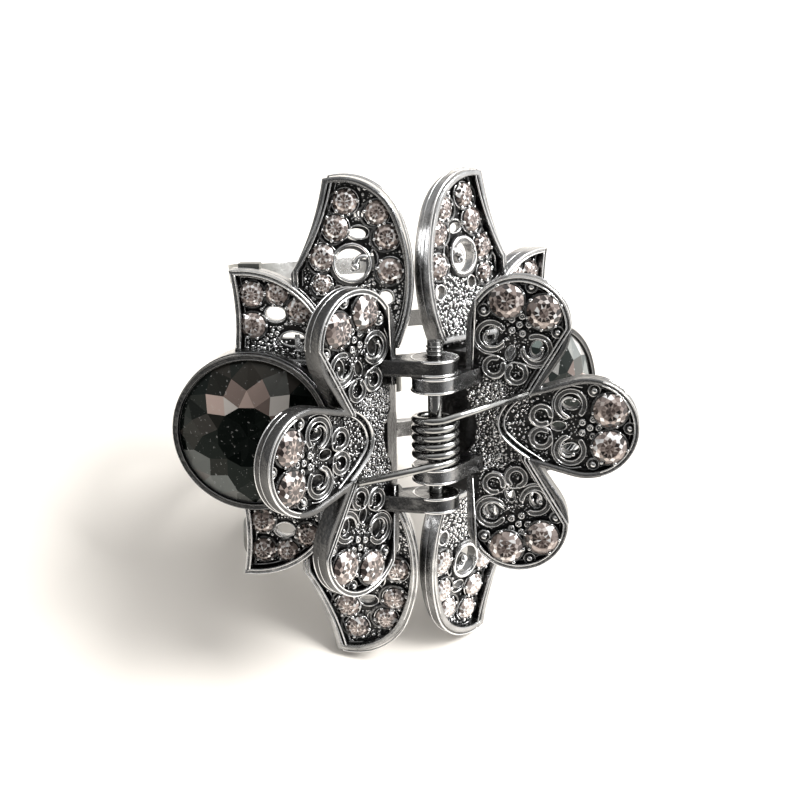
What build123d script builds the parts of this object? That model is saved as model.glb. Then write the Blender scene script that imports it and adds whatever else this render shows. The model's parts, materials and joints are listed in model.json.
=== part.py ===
from build123d import *

from math import atan2, cos, degrees, pi, radians, sin
import os

# A metal claw hair clip with three-petal handles, stone-set leaves and two large round stones.
# Each half is drawn on the right of the hinge in the clip's own frame: the hinge axis is Z, the
# petal handles open toward -Y and the jaws reach toward +Y. The left half is its mirror image.
# At the end every piece is leaned back, as the clip stands on two leaf tips and its lowest tooth.

# Hinge, in millimetres
PIN_DIAMETER = 1.5
PIN_CLEARANCE = 0.05
PIN_STUB = 1.6
HEAD_RADIUS = 1.5
HEAD_THICKNESS = 0.35
LUG_RADIUS = 2.3
LUG_HEIGHT = 1.6
LUG_GAP = 0.15
UPPER_LUG_BASE = 6.5
LOWER_LUG_TOP = -5.9
LOWER_INNER_LUG_DROP = 1.4
SEAT_GAP = 0.05
ARM_TIP_RADIUS = 0.9
ARM_TIP_OUT = 4.9

# Spring between the right half's two lugs
WIRE_DIAMETER = 0.8
COIL_DIAMETER = 4.9
COIL_TURNS = 5
COIL_PITCH = 0.9
COIL_BASE = -2.8
SPRING_ARM_REACH = 10.2
SPRING_ARM_RISE = 3.9
SPRING_ARM_DROP = 3.1

# Handle plates with three petals
HANDLE_ANGLE = 28.0
HANDLE_SET_BACK = 2.4
HANDLE_THICKNESS = 2.3
HANDLE_FLOOR = 0.9
HANDLE_RIM_DROP = 0.4
HANDLE_RIM = 0.55
HANDLE_RISE = 0.3
PETAL_RADIUS = 5.2
MIDDLE_PETAL_OUT = 16.1
MIDDLE_ROOT_OUT = 8.6
SIDE_PETAL_OUT = 9.2
SIDE_PETAL_UP = 10.2
SIDE_ROOT_OUT = 7.2
SIDE_ROOT_UP = 3.6
ROOT_RADIUS = 3.2
HUB_INNER = 3.9
HUB_OUTER = 8.0
HUB_HALF_HEIGHT = 9.2
SPRING_BAY_RADIUS = 4.8
RELIEF_HEIGHT = 0.5
SCROLL_WALL = 0.36

# Knee that joins a handle to its jaw
KNEE_HALF_HEIGHT = 7.4
KNEE_WIDTH = 3.2

# Jaw plates with four leaves and a round cup; the heights of a leaf's crown, shoulder, waist and
# hollow are shares of its tip's
JAW_ANGLE = 26.0
JAW_SET_BACK = 2.7
LEAF_THICKNESS = 2.1
LEAF_POCKET = 1.2
LEAF_RIM = 0.55
LEAF_TILT = 4.4
TILT_START = 10.0
TALL_TIP_OUT = 9.5
TALL_TIP_UP = 25.6
TALL_CROWN_OUT = 5.6
TALL_CROWN_UP = 0.985
TALL_SHOULDER_OUT = 2.2
TALL_SHOULDER_UP = 0.84
TALL_INNER_EDGE = 1.1
TALL_WAIST_UP = 0.62
TALL_FOOT_UP = 8.5
TALL_OUTER_EDGE = 13.2
TALL_HOLLOW_OUT = 10.93
TALL_HOLLOW_UP = 0.81
SHORT_TIP_OUT = 19.7
SHORT_TIP_UP = 16.3
SHORT_WAIST_OUT = 19.2
SHORT_WAIST_UP = 0.7
SHORT_CROWN_UP = 0.965
SHORT_SHOULDER_UP = 0.73
SHORT_INNER_EDGE = 10.7
SHORT_FOOT_UP = 6.6
BRIDGE_INNER = 3.2

# Large round stone and its cup
CRYSTAL_DIAMETER = 15.2
CRYSTAL_CROWN = 1.9
CRYSTAL_GIRDLE = 0.35
CRYSTAL_SIDES = 16
CUP_CLEARANCE = 0.05
CUP_WALL = 0.55
CUP_OUT = 17.6
CUP_RISE = 2.4
CUP_FLOOR = 1.1

# Small stones, their collars and their seats; table, star facets and culet are shares of a
# stone's radius, and the star facets' rise one of its crown
PETAL_STONE_RADIUS = 1.65
PETAL_STONE_CROWN = 0.5
PETAL_STONE_DEPTH = 0.95
PETAL_COLLAR_HEIGHT = 0.85
LEAF_STONE_RADIUS = 1.2
LEAF_STONE_CROWN = 0.42
LEAF_STONE_DEPTH = 0.6
LEAF_COLLAR_HEIGHT = 0.45
STONE_SIDES = 8
TABLE_SHARE = 0.55
STAR_SHARE = 0.8
STAR_RISE = 0.6
CULET_SHARE = 0.3
STONE_GIRDLE = 0.14
STONE_GAP = 0.06
COLLAR_WALL = 0.2

# Teeth on a rib behind each jaw plate
TOOTH_HEIGHT = 1.9
TOOTH_THICKNESS = 1.3
TOOTH_SIDE = 17.4
TOOTH_SIDE_RUN = 3.8
TOOTH_BEND = 9.5
TOOTH_CROSS = 3.7
TOOTH_TIP_BEND = 3.0
TOOTH_TIP_RUN = 1.2
TOOTH_ROOT_UP = 15.7
TOOTH_LEAN_IN = 0.145
RIB_OUTER = 19.2
RIB_WIDTH = 2.2
RIB_THICKNESS = 1.2

# Search for the lean, in degrees
LEAST_LEAN = 5
MOST_LEAN = 75
LEAN_STEPS = 40

# Petals: round end out and up, root out and up
PETALS = {
    "upper": (SIDE_PETAL_OUT, SIDE_PETAL_UP, SIDE_ROOT_OUT, SIDE_ROOT_UP),
    "middle": (MIDDLE_PETAL_OUT, 0.0, MIDDLE_ROOT_OUT, 0.0),
    "lower": (SIDE_PETAL_OUT, -SIDE_PETAL_UP, SIDE_ROOT_OUT, -SIDE_ROOT_UP),
}

# Ornament of one petal in shares of its radius: along it from the centre of its round end
# toward the tip, and across it
PETAL_STONES = {"left": (0.44, 0.37), "right": (0.44, -0.37)}
# along, across, radius
PETAL_BEADS = (
    (0.06, 0.0, 0.065),
    (0.23, 0.0, 0.065),
    (0.115, 0.17, 0.065),
    (-0.09, 0.105, 0.065),
    (-0.09, -0.105, 0.065),
    (0.115, -0.17, 0.065),
    (0.13, 0.74, 0.09),
    (0.82, 0.0, 0.09),
    (0.13, -0.74, 0.09),
)
# along, across, radius of the scroll's centre line, start angle, sweep
PETAL_SCROLLS = (
    (-0.32, 0.46, 0.27, -40.0, 290.0),
    (-0.32, -0.46, 0.27, -250.0, 290.0),
    (-0.88, 0.23, 0.18, 0.0, 300.0),
    (-0.88, -0.23, 0.18, 60.0, 300.0),
)
# along, across, half-length, half-width
PETAL_GAPS = (
    (-0.31, 0.45, 0.16, 0.1),
    (-0.31, -0.45, 0.16, 0.1),
    (-0.55, 0.0, 0.14, 0.08),
)

# Tall leaf: out in shares of TALL_OUTER_EDGE, up in shares of TALL_TIP_UP
# out, up, stone radius in shares of LEAF_STONE_RADIUS
TALL_STONES = (
    (0.599, 0.898, 0.98),
    (0.675, 0.797, 1.02),
    (0.357, 0.855, 0.96),
    (0.283, 0.762, 1.00),
    (0.262, 0.629, 1.02),
    (0.780, 0.684, 1.02),
    (0.787, 0.578, 0.75),
)
# out, up, half-width in shares of TALL_OUTER_EDGE, half-height in shares of TALL_TIP_UP
TALL_GAPS = (
    (0.477, 0.852, 0.033, 0.017),
    (0.500, 0.779, 0.074, 0.023),
    (0.390, 0.672, 0.023, 0.036),
    (0.659, 0.545, 0.041, 0.023),
    (0.295, 0.525, 0.052, 0.027),
)
# out, up, radius in shares of TALL_OUTER_EDGE of the round gap, and its collar's width
TALL_EYE = (0.553, 0.660, 0.126)
TALL_EYE_COLLAR = 0.4
# out, up, radius in shares of TALL_OUTER_EDGE, start and sweep of the hook in the round gap
TALL_HOOK = (0.462, 0.652, 0.064, -10.0, 125.0)
TALL_HOOK_WIDTH = 0.5

# Short leaf: out in shares of SHORT_TIP_OUT, up in shares of SHORT_TIP_UP
# out, up, stone radius in shares of LEAF_STONE_RADIUS
SHORT_STONES = (
    (0.893, 0.846, 1.02),
    (0.761, 0.850, 0.93),
    (0.649, 0.740, 1.00),
    (0.893, 0.647, 1.04),
)
# out, up, half-width in shares of SHORT_TIP_OUT, half-height in shares of SHORT_TIP_UP
SHORT_GAPS = (
    (0.777, 0.715, 0.053, 0.046),
    (0.690, 0.558, 0.062, 0.041),
)


def plate_plane(angle, set_back):
    """The face of a right-hand plate: x outward, y up along the hinge, z out of its front"""
    turn = radians(angle)
    return Plane(
        origin=(0, set_back, 0),
        x_dir=(cos(turn), sin(turn), 0),
        z_dir=(sin(turn), -cos(turn), 0),
    )


HANDLE = plate_plane(-HANDLE_ANGLE, HANDLE_SET_BACK)
JAW = plate_plane(JAW_ANGLE, JAW_SET_BACK)
TALL = Plane(
    origin=JAW.from_local_coords((0, TILT_START, 0)), x_dir=JAW.x_dir, z_dir=JAW.z_dir
).rotated((-LEAF_TILT, 0, 0))

HANDLE_FLOOR_LIFT = HANDLE_FLOOR - HANDLE_THICKNESS
CUP_RADIUS = CRYSTAL_DIAMETER / 2 + CUP_CLEARANCE + CUP_WALL
UPPER_INNER_LUG_BASE = UPPER_LUG_BASE - LUG_GAP - LUG_HEIGHT
LOWER_LUG_BASE = LOWER_LUG_TOP - LUG_HEIGHT
LOWER_INNER_LUG_BASE = LOWER_LUG_TOP + LOWER_INNER_LUG_DROP


def in_plan(plane, out, lift):
    """X and Y of a point of a plate, as seen down the hinge"""
    point = plane.from_local_coords((out, 0, lift))
    return (point.X, point.Y)


def on_petal(petal, along, across):
    """A point of a petal's ornament in the handle's plane"""
    out, up, root_out, root_up = PETALS[petal]
    run = atan2(up - root_up, out - root_out)
    x = along * PETAL_RADIUS
    y = across * PETAL_RADIUS
    return (out + x * cos(run) - y * sin(run), HANDLE_RISE + up + x * sin(run) + y * cos(run))


def petal_turn(petal):
    """The way a petal points, in degrees"""
    out, up, root_out, root_up = PETALS[petal]
    return degrees(atan2(up - root_up, out - root_out))


def petal_outline(petal, inset):
    """A petal is the hull of its round end and its root"""
    out, up, root_out, root_up = PETALS[petal]
    with BuildSketch() as outline:
        with BuildLine():
            CenterArc((out, HANDLE_RISE + up), PETAL_RADIUS - inset, 0, 360)
            CenterArc((root_out, HANDLE_RISE + root_up), ROOT_RADIUS - inset, 0, 360)
        make_hull()
    return outline.sketch


def petal_scrolls(petal):
    """Centre lines of a petal's scrolls"""
    return [
        CenterArc(
            on_petal(petal, along, across), radius * PETAL_RADIUS, petal_turn(petal) + start, turn
        )
        for along, across, radius, start, turn in PETAL_SCROLLS
    ]


def tall_leaf_outline():
    """The sabre-shaped leaf beside the middle of the clip, measured from the start of its tilt"""
    tip = (TALL_TIP_OUT, TALL_TIP_UP - TILT_START)
    crown = (TALL_CROWN_OUT, TALL_CROWN_UP * TALL_TIP_UP - TILT_START)
    shoulder = (TALL_SHOULDER_OUT, TALL_SHOULDER_UP * TALL_TIP_UP - TILT_START)
    waist = (TALL_INNER_EDGE, TALL_WAIST_UP * TALL_TIP_UP - TILT_START)
    foot = (BRIDGE_INNER - LEAF_RIM, TALL_FOOT_UP - TILT_START)
    outer_foot = (TALL_OUTER_EDGE, TALL_FOOT_UP - TILT_START)
    outer = (TALL_OUTER_EDGE, SHORT_TIP_UP - TILT_START)
    hollow = (TALL_HOLLOW_OUT, TALL_HOLLOW_UP * TALL_TIP_UP - TILT_START)
    with BuildSketch() as outline:
        with BuildLine():
            ThreePointArc(tip, crown, shoulder)
            ThreePointArc(shoulder, waist, foot)
            Polyline(foot, outer_foot, outer)
            ThreePointArc(outer, hollow, tip)
        make_face()
    return outline.sketch


def short_leaf_outline():
    """The broad leaf that rises beside the round cup"""
    tip = (SHORT_TIP_OUT, SHORT_TIP_UP)
    waist = (SHORT_WAIST_OUT, SHORT_WAIST_UP * SHORT_TIP_UP)
    foot = (SHORT_TIP_OUT, SHORT_FOOT_UP)
    inner_foot = (SHORT_INNER_EDGE, SHORT_FOOT_UP)
    inner = (SHORT_INNER_EDGE, SHORT_SHOULDER_UP * SHORT_TIP_UP)
    crown = ((SHORT_INNER_EDGE + SHORT_TIP_OUT) / 2, SHORT_CROWN_UP * SHORT_TIP_UP)
    with BuildSketch() as outline:
        with BuildLine():
            ThreePointArc(tip, waist, foot)
            Polyline(foot, inner_foot, inner)
            ThreePointArc(inner, crown, tip)
        make_face()
    return outline.sketch


def tall_point(out, up):
    """A point of the tall leaf's ornament in its tilted plane"""
    return (out * TALL_OUTER_EDGE, up * TALL_TIP_UP - TILT_START)


def short_point(out, up):
    """A point of the short leaf's ornament in the jaw's plane"""
    return (out * SHORT_TIP_OUT, up * SHORT_TIP_UP)


def petal_girdle_lift():
    """Foot of a petal stone's girdle, just inside its collar"""
    return HANDLE_FLOOR_LIFT + PETAL_COLLAR_HEIGHT - STONE_GIRDLE


def leaf_girdle_lift():
    """Foot of a leaf stone's girdle, just inside its collar"""
    return LEAF_COLLAR_HEIGHT - LEAF_POCKET - STONE_GIRDLE


def handle_half(lug_bases):
    """A right-hand petal plate with its rims, relief and knee, and a lug at each given height"""
    knee = (
        in_plan(HANDLE, HUB_INNER, HANDLE_FLOOR_LIFT - HANDLE_FLOOR / 2),
        in_plan(HANDLE, HUB_INNER + KNEE_WIDTH, HANDLE_FLOOR_LIFT - HANDLE_FLOOR / 2),
        in_plan(JAW, BRIDGE_INNER + KNEE_WIDTH, SEAT_GAP - LEAF_POCKET),
        in_plan(JAW, BRIDGE_INNER, SEAT_GAP - LEAF_POCKET),
    )
    arm_tip = in_plan(HANDLE, ARM_TIP_OUT, HANDLE_FLOOR_LIFT - HANDLE_FLOOR / 2)
    scrolls = [scroll for petal in PETALS for scroll in petal_scrolls(petal)]
    with BuildPart() as half:
        with BuildSketch(HANDLE.offset(-HANDLE_THICKNESS)):
            for petal in PETALS:
                add(petal_outline(petal, 0))
            with Locations(((HUB_INNER + HUB_OUTER) / 2, HANDLE_RISE)):
                Rectangle(HUB_OUTER - HUB_INNER, 2 * HUB_HALF_HEIGHT)
            Circle(SPRING_BAY_RADIUS, mode=Mode.SUBTRACT)
        extrude(amount=HANDLE_FLOOR)
        with BuildSketch(HANDLE.offset(HANDLE_FLOOR_LIFT)):
            for petal in PETALS:
                add(petal_outline(petal, 0))
            for petal in PETALS:
                add(petal_outline(petal, HANDLE_RIM), mode=Mode.SUBTRACT)
            with Locations((HUB_OUTER / 2, HANDLE_RISE)):
                Rectangle(HUB_OUTER, 2 * SIDE_ROOT_UP + ROOT_RADIUS, mode=Mode.SUBTRACT)
        extrude(amount=-HANDLE_FLOOR_LIFT - HANDLE_RIM_DROP)
        with BuildSketch(HANDLE.offset(HANDLE_FLOOR_LIFT)):
            for scroll in scrolls:
                SlotArc(scroll, SCROLL_WALL)
            for petal in PETALS:
                for along, across, radius in PETAL_BEADS:
                    with Locations(on_petal(petal, along, across)):
                        Circle(radius * PETAL_RADIUS)
        extrude(amount=RELIEF_HEIGHT)
        with BuildSketch(HANDLE.offset(HANDLE_FLOOR_LIFT)):
            for petal in PETALS:
                with Locations([on_petal(petal, *place) for place in PETAL_STONES.values()]):
                    Circle(PETAL_STONE_RADIUS + STONE_GAP + COLLAR_WALL)
        extrude(amount=PETAL_COLLAR_HEIGHT)
        with BuildSketch(HANDLE.offset(petal_girdle_lift() - PETAL_STONE_DEPTH - STONE_GAP)):
            for petal in PETALS:
                with Locations([on_petal(petal, *place) for place in PETAL_STONES.values()]):
                    Circle(PETAL_STONE_RADIUS + STONE_GAP)
        extrude(amount=HANDLE_THICKNESS, mode=Mode.SUBTRACT)
        with BuildSketch(HANDLE.offset(-HANDLE_THICKNESS)):
            for petal in PETALS:
                for along, across, half_length, half_width in PETAL_GAPS:
                    place = on_petal(petal, along, across)
                    with Locations(Location((*place, 0), (0, 0, petal_turn(petal)))):
                        Ellipse(half_length * PETAL_RADIUS, half_width * PETAL_RADIUS)
        extrude(amount=HANDLE_FLOOR + RELIEF_HEIGHT, mode=Mode.SUBTRACT)
        with BuildSketch(Plane.XY.offset(HANDLE_RISE - KNEE_HALF_HEIGHT)):
            with BuildLine():
                Polyline(*knee, close=True)
            make_face()
        extrude(amount=2 * KNEE_HALF_HEIGHT)
        for base in lug_bases:
            with BuildSketch(Plane.XY.offset(base)):
                with BuildLine():
                    CenterArc((0, 0), LUG_RADIUS, 0, 360)
                    CenterArc(arm_tip, ARM_TIP_RADIUS, 0, 360)
                make_hull()
                Circle(PIN_DIAMETER / 2 + PIN_CLEARANCE, mode=Mode.SUBTRACT)
            extrude(amount=LUG_HEIGHT)
    return half.part


def jaw_half():
    """A right-hand plate of two tall and two short leaves that meet at a round cup"""
    tall_back = TALL.offset(-LEAF_THICKNESS)
    tall_floor = TALL.offset(-LEAF_POCKET)
    short_back = JAW.offset(-LEAF_THICKNESS)
    short_floor = JAW.offset(-LEAF_POCKET)
    leaf_floor = LEAF_THICKNESS - LEAF_POCKET
    eye_out, eye_up, eye_radius = TALL_EYE
    hook_out, hook_up, hook_radius, hook_start, hook_sweep = TALL_HOOK
    hook = CenterArc(
        tall_point(hook_out, hook_up), hook_radius * TALL_OUTER_EDGE, hook_start, hook_sweep
    )
    with BuildPart() as half:
        with BuildSketch(tall_back):
            add(tall_leaf_outline())
        extrude(amount=LEAF_THICKNESS)
        with BuildSketch(tall_floor):
            add(tall_leaf_outline())
            offset(amount=-LEAF_RIM, mode=Mode.REPLACE)
        extrude(amount=LEAF_POCKET, mode=Mode.SUBTRACT)
        with BuildSketch(short_back):
            add(short_leaf_outline())
        extrude(amount=LEAF_THICKNESS)
        with BuildSketch(short_floor):
            add(short_leaf_outline())
            offset(amount=-LEAF_RIM, mode=Mode.REPLACE)
        extrude(amount=LEAF_POCKET, mode=Mode.SUBTRACT)
        with BuildSketch(tall_back):
            for out, up, half_width, half_height in TALL_GAPS:
                with Locations(tall_point(out, up)):
                    Ellipse(half_width * TALL_OUTER_EDGE, half_height * TALL_TIP_UP)
        extrude(amount=LEAF_THICKNESS, mode=Mode.SUBTRACT)
        with BuildSketch(tall_back):
            with Locations(tall_point(eye_out, eye_up)):
                Circle(eye_radius * TALL_OUTER_EDGE + TALL_EYE_COLLAR)
        extrude(amount=leaf_floor + LEAF_COLLAR_HEIGHT)
        with BuildSketch(tall_back):
            with Locations(tall_point(eye_out, eye_up)):
                Circle(eye_radius * TALL_OUTER_EDGE)
            SlotArc(hook, TALL_HOOK_WIDTH, mode=Mode.SUBTRACT)
        extrude(amount=LEAF_THICKNESS, mode=Mode.SUBTRACT)
        with BuildSketch(short_back):
            for out, up, half_width, half_height in SHORT_GAPS:
                with Locations(short_point(out, up)):
                    Ellipse(half_width * SHORT_TIP_OUT, half_height * SHORT_TIP_UP)
        extrude(amount=LEAF_THICKNESS, mode=Mode.SUBTRACT)
        with BuildSketch(tall_floor):
            for out, up, radius in TALL_STONES:
                with Locations(tall_point(out, up)):
                    Circle(radius * LEAF_STONE_RADIUS + STONE_GAP + COLLAR_WALL)
        extrude(amount=LEAF_COLLAR_HEIGHT)
        with BuildSketch(short_floor):
            for out, up, radius in SHORT_STONES:
                with Locations(short_point(out, up)):
                    Circle(radius * LEAF_STONE_RADIUS + STONE_GAP + COLLAR_WALL)
        extrude(amount=LEAF_COLLAR_HEIGHT)
        with BuildSketch(TALL.offset(leaf_girdle_lift() - LEAF_STONE_DEPTH - STONE_GAP)):
            for out, up, radius in TALL_STONES:
                with Locations(tall_point(out, up)):
                    Circle(radius * LEAF_STONE_RADIUS + STONE_GAP)
        extrude(amount=LEAF_THICKNESS, mode=Mode.SUBTRACT)
        with BuildSketch(JAW.offset(leaf_girdle_lift() - LEAF_STONE_DEPTH - STONE_GAP)):
            for out, up, radius in SHORT_STONES:
                with Locations(short_point(out, up)):
                    Circle(radius * LEAF_STONE_RADIUS + STONE_GAP)
        extrude(amount=LEAF_THICKNESS, mode=Mode.SUBTRACT)
        mirror(about=Plane.XY)
        with BuildSketch(short_back):
            with Locations(((BRIDGE_INNER + CUP_OUT) / 2, 0)):
                Rectangle(CUP_OUT - BRIDGE_INNER, 2 * (TALL_FOOT_UP + LEAF_RIM))
        extrude(amount=leaf_floor)
        with BuildSketch(short_back):
            with Locations((CUP_OUT, 0)):
                Circle(CUP_RADIUS)
        extrude(amount=LEAF_THICKNESS + CUP_RISE)
        with BuildSketch(JAW.offset(CUP_RISE)):
            with Locations((CUP_OUT, 0)):
                Circle(CUP_RADIUS - CUP_WALL)
        extrude(amount=-(CUP_RISE + LEAF_THICKNESS - CUP_FLOOR), mode=Mode.SUBTRACT)
    return half.part


def teeth_half(root_heights):
    """Hooked teeth on a flat rib behind the right-hand jaw, one at each given height"""
    rib_plane = JAW.offset(-LEAF_THICKNESS - SEAT_GAP)
    rib_out = RIB_OUTER - RIB_WIDTH / 2
    root = in_plan(JAW, rib_out, -LEAF_THICKNESS - SEAT_GAP - RIB_THICKNESS / 2)
    rib_height = 2 * max(abs(height) for height in root_heights) + TOOTH_HEIGHT
    depth = TOOTH_SIDE_RUN + TOOTH_BEND
    tip = (-TOOTH_CROSS, depth - TOOTH_TIP_BEND - TOOTH_TIP_RUN)
    with BuildPart() as half:
        with BuildSketch(rib_plane):
            with Locations((rib_out, 0)):
                Rectangle(RIB_WIDTH, rib_height)
        extrude(amount=-RIB_THICKNESS)
        for height in root_heights:
            lean_in = degrees(atan2(TOOTH_LEAN_IN * height, depth))
            tooth_plane = Plane(origin=(0, root[1], height - TOOTH_HEIGHT / 2)).rotated(
                (-lean_in, 0, 0)
            )
            with BuildSketch(tooth_plane):
                with BuildLine():
                    FilletPolyline(
                        (root[0], 0),
                        (TOOTH_SIDE, depth),
                        (-TOOTH_CROSS, depth),
                        tip,
                        radius=[TOOTH_BEND, TOOTH_TIP_BEND],
                    )
                trace(line_width=TOOTH_THICKNESS)
                with Locations(tip):
                    Circle(TOOTH_THICKNESS / 2)
            extrude(amount=TOOTH_HEIGHT)
    return half.part


def round_cut(radius, crown, girdle, depth, sides):
    """Corners of a round-cut stone about the foot of its girdle: table, crown, girdle and culet"""
    rings = (
        # share of the radius, height, corners, turned by half a step
        (TABLE_SHARE, girdle + crown, sides, True),
        (STAR_SHARE, girdle + STAR_RISE * crown, sides, False),
        (1, girdle, 2 * sides, False),
        (1, 0, 2 * sides, False),
        (CULET_SHARE, -depth, sides, False),
    )
    corners = []
    for share, height, count, turned in rings:
        for step in range(count):
            angle = 2 * pi * (step + (0.5 if turned else 0)) / count
            corners.append((share * radius * cos(angle), share * radius * sin(angle), height))
    return corners


def eight_cut(radius, crown, girdle, depth):
    """Corners of a small stone with a table and eight facets about the foot of its girdle"""
    rings = (
        # share of the radius, height, turn in steps
        (TABLE_SHARE, girdle + crown, 0.5),
        (1, girdle, 0),
        (1, 0, 0),
        (CULET_SHARE, -depth, 0.5),
    )
    corners = []
    for share, height, turn in rings:
        for step in range(STONE_SIDES):
            angle = 2 * pi * (step + turn) / STONE_SIDES
            corners.append((share * radius * cos(angle), share * radius * sin(angle), height))
    return corners


def petal_stone(petal, place):
    """One stone in its collar on a right-hand petal"""
    corners = round_cut(
        PETAL_STONE_RADIUS, PETAL_STONE_CROWN, STONE_GIRDLE, PETAL_STONE_DEPTH, STONE_SIDES
    )
    with BuildPart(HANDLE.offset(petal_girdle_lift())) as stone:
        with Locations(on_petal(petal, *place)):
            ConvexPolyhedron(corners)
    return stone.part


def leaf_stone(radius):
    """A small stone of a leaf, its radius given as a share of the common one"""
    corners = eight_cut(
        radius * LEAF_STONE_RADIUS, LEAF_STONE_CROWN, STONE_GIRDLE, LEAF_STONE_DEPTH
    )
    return ConvexPolyhedron(corners)


def tall_leaf_stones():
    """The stones of an upper tall leaf"""
    with BuildPart(TALL.offset(leaf_girdle_lift())) as stones:
        for out, up, radius in TALL_STONES:
            with Locations(tall_point(out, up)):
                leaf_stone(radius)
    return stones.part


def short_leaf_stones():
    """The stones of an upper short leaf"""
    with BuildPart(JAW.offset(leaf_girdle_lift())) as stones:
        for out, up, radius in SHORT_STONES:
            with Locations(short_point(out, up)):
                leaf_stone(radius)
    return stones.part


def in_mirror(part, about):
    """The mirror image of a finished piece"""
    with BuildPart() as image:
        mirror(part, about=about)
    return image.part


# Halves of the clip: the right one carries the inner lugs, the left one the outer lugs and the pin
pieces = {}
pieces["handle_right"] = handle_half((UPPER_INNER_LUG_BASE, LOWER_INNER_LUG_BASE))
pieces["handle_left"] = in_mirror(handle_half((UPPER_LUG_BASE, LOWER_LUG_BASE)), Plane.YZ)
pieces["jaw_right"] = jaw_half()
pieces["jaw_left"] = in_mirror(pieces["jaw_right"], Plane.YZ)
pieces["teeth_right"] = teeth_half((TOOTH_ROOT_UP / 2, -TOOTH_ROOT_UP / 2))
pieces["teeth_left"] = in_mirror(teeth_half((TOOTH_ROOT_UP, 0, -TOOTH_ROOT_UP)), Plane.YZ)

with BuildPart() as pin:
    with BuildSketch(Plane.XY.offset(LOWER_LUG_BASE - SEAT_GAP)):
        Circle(PIN_DIAMETER / 2)
    extrude(amount=UPPER_LUG_BASE + LUG_HEIGHT + PIN_STUB - LOWER_LUG_BASE + SEAT_GAP)
    with BuildSketch(Plane.XY.offset(LOWER_LUG_BASE - SEAT_GAP)):
        Circle(HEAD_RADIUS)
    extrude(amount=-HEAD_THICKNESS)
pieces["pin"] = pin.part

# The spring's wire leaves the front of the coil toward a rim of each handle
coil_radius = (COIL_DIAMETER - WIRE_DIAMETER) / 2
coil_height = COIL_TURNS * COIL_PITCH
wire_lift = WIRE_DIAMETER / 2 + SEAT_GAP - HANDLE_RIM_DROP
arm_rest = in_plan(HANDLE, SPRING_ARM_REACH, wire_lift)
coil_start = COIL_BASE + WIRE_DIAMETER / 2
with BuildPart() as spring:
    with BuildLine(Plane(origin=(0, 0, coil_start), x_dir=(0, -1, 0), z_dir=(0, 0, 1))) as coil:
        Helix(pitch=COIL_PITCH, height=coil_height, radius=coil_radius)
    with BuildSketch(Plane(origin=coil.line @ 0, z_dir=coil.line % 0)):
        Circle(WIRE_DIAMETER / 2)
    sweep(path=coil.line, is_frenet=True)
    for start, rest in (
        ((0, -coil_radius, coil_start + coil_height), (*arm_rest, SPRING_ARM_RISE)),
        ((0, -coil_radius, coil_start), (-arm_rest[0], arm_rest[1], -SPRING_ARM_DROP)),
    ):
        with BuildLine() as arm:
            Line(start, rest)
        with BuildSketch(Plane(origin=arm.line @ 0, z_dir=arm.line % 0)):
            Circle(WIRE_DIAMETER / 2)
        sweep(path=arm.line)
        with Locations(start):
            Sphere(WIRE_DIAMETER / 2)
pieces["spring"] = spring.part

crystal_depth = CUP_RISE + LEAF_THICKNESS - CUP_FLOOR - CUP_CLEARANCE - 2 * CRYSTAL_GIRDLE
with BuildPart(JAW.offset(CUP_RISE - 2 * CRYSTAL_GIRDLE)) as crystal:
    with Locations((CUP_OUT, 0)):
        ConvexPolyhedron(
            round_cut(
                CRYSTAL_DIAMETER / 2, CRYSTAL_CROWN, CRYSTAL_GIRDLE, crystal_depth, CRYSTAL_SIDES
            )
        )
pieces["crystal_right"] = crystal.part
pieces["crystal_left"] = in_mirror(crystal.part, Plane.YZ)

for petal in PETALS:
    for side, place in PETAL_STONES.items():
        stone = petal_stone(petal, place)
        pieces[f"{petal}_petal_{side}_stone_right"] = stone
        pieces[f"{petal}_petal_{side}_stone_left"] = in_mirror(stone, Plane.YZ)

for leaf, stones in (("tall", tall_leaf_stones()), ("short", short_leaf_stones())):
    lower = in_mirror(stones, Plane.XY)
    pieces[f"upper_{leaf}_leaf_stones_right"] = stones
    pieces[f"upper_{leaf}_leaf_stones_left"] = in_mirror(stones, Plane.YZ)
    pieces[f"lower_{leaf}_leaf_stones_right"] = lower
    pieces[f"lower_{leaf}_leaf_stones_left"] = in_mirror(lower, Plane.YZ)


def lowest(part, lean):
    """How low a piece reaches once the clip is leaned back by an angle in radians"""
    return min(corner.Z * cos(lean) - corner.Y * sin(lean) for corner in part.vertices())


# The lean at which the leaf tips and the lowest tooth touch the ground together
lean_low, lean_high = radians(LEAST_LEAN), radians(MOST_LEAN)
for step in range(LEAN_STEPS):
    lean = (lean_low + lean_high) / 2
    if lowest(pieces["jaw_left"], lean) < lowest(pieces["teeth_left"], lean):
        lean_low = lean
    else:
        lean_high = lean
leaned = {name: part.rotate(Axis.X, -degrees(lean)) for name, part in pieces.items()}
boxes = [part.bounding_box() for part in leaned.values()]
ground = Location(
    (
        -(min(box.min.X for box in boxes) + max(box.max.X for box in boxes)) / 2,
        -(min(box.min.Y for box in boxes) + max(box.max.Y for box in boxes)) / 2,
        -min(box.min.Z for box in boxes),
    )
)

os.makedirs("parts", exist_ok=True)
for name, part in leaned.items():
    standing = part.moved(ground)
    standing.label = name
    export_step(standing, f"parts/{name}.step")

print("lean", degrees(lean), "ground", ground.position)
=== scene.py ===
"""Looks of the hair clip: plated castings, cut stones, coil spring, floor, light and camera"""
import json
import random
from collections import namedtuple
from functools import partial
from itertools import takewhile
from math import acos, atan2, cos, hypot, pi, radians, sin, tan

import bpy
from mathutils import Matrix, Vector

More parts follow.
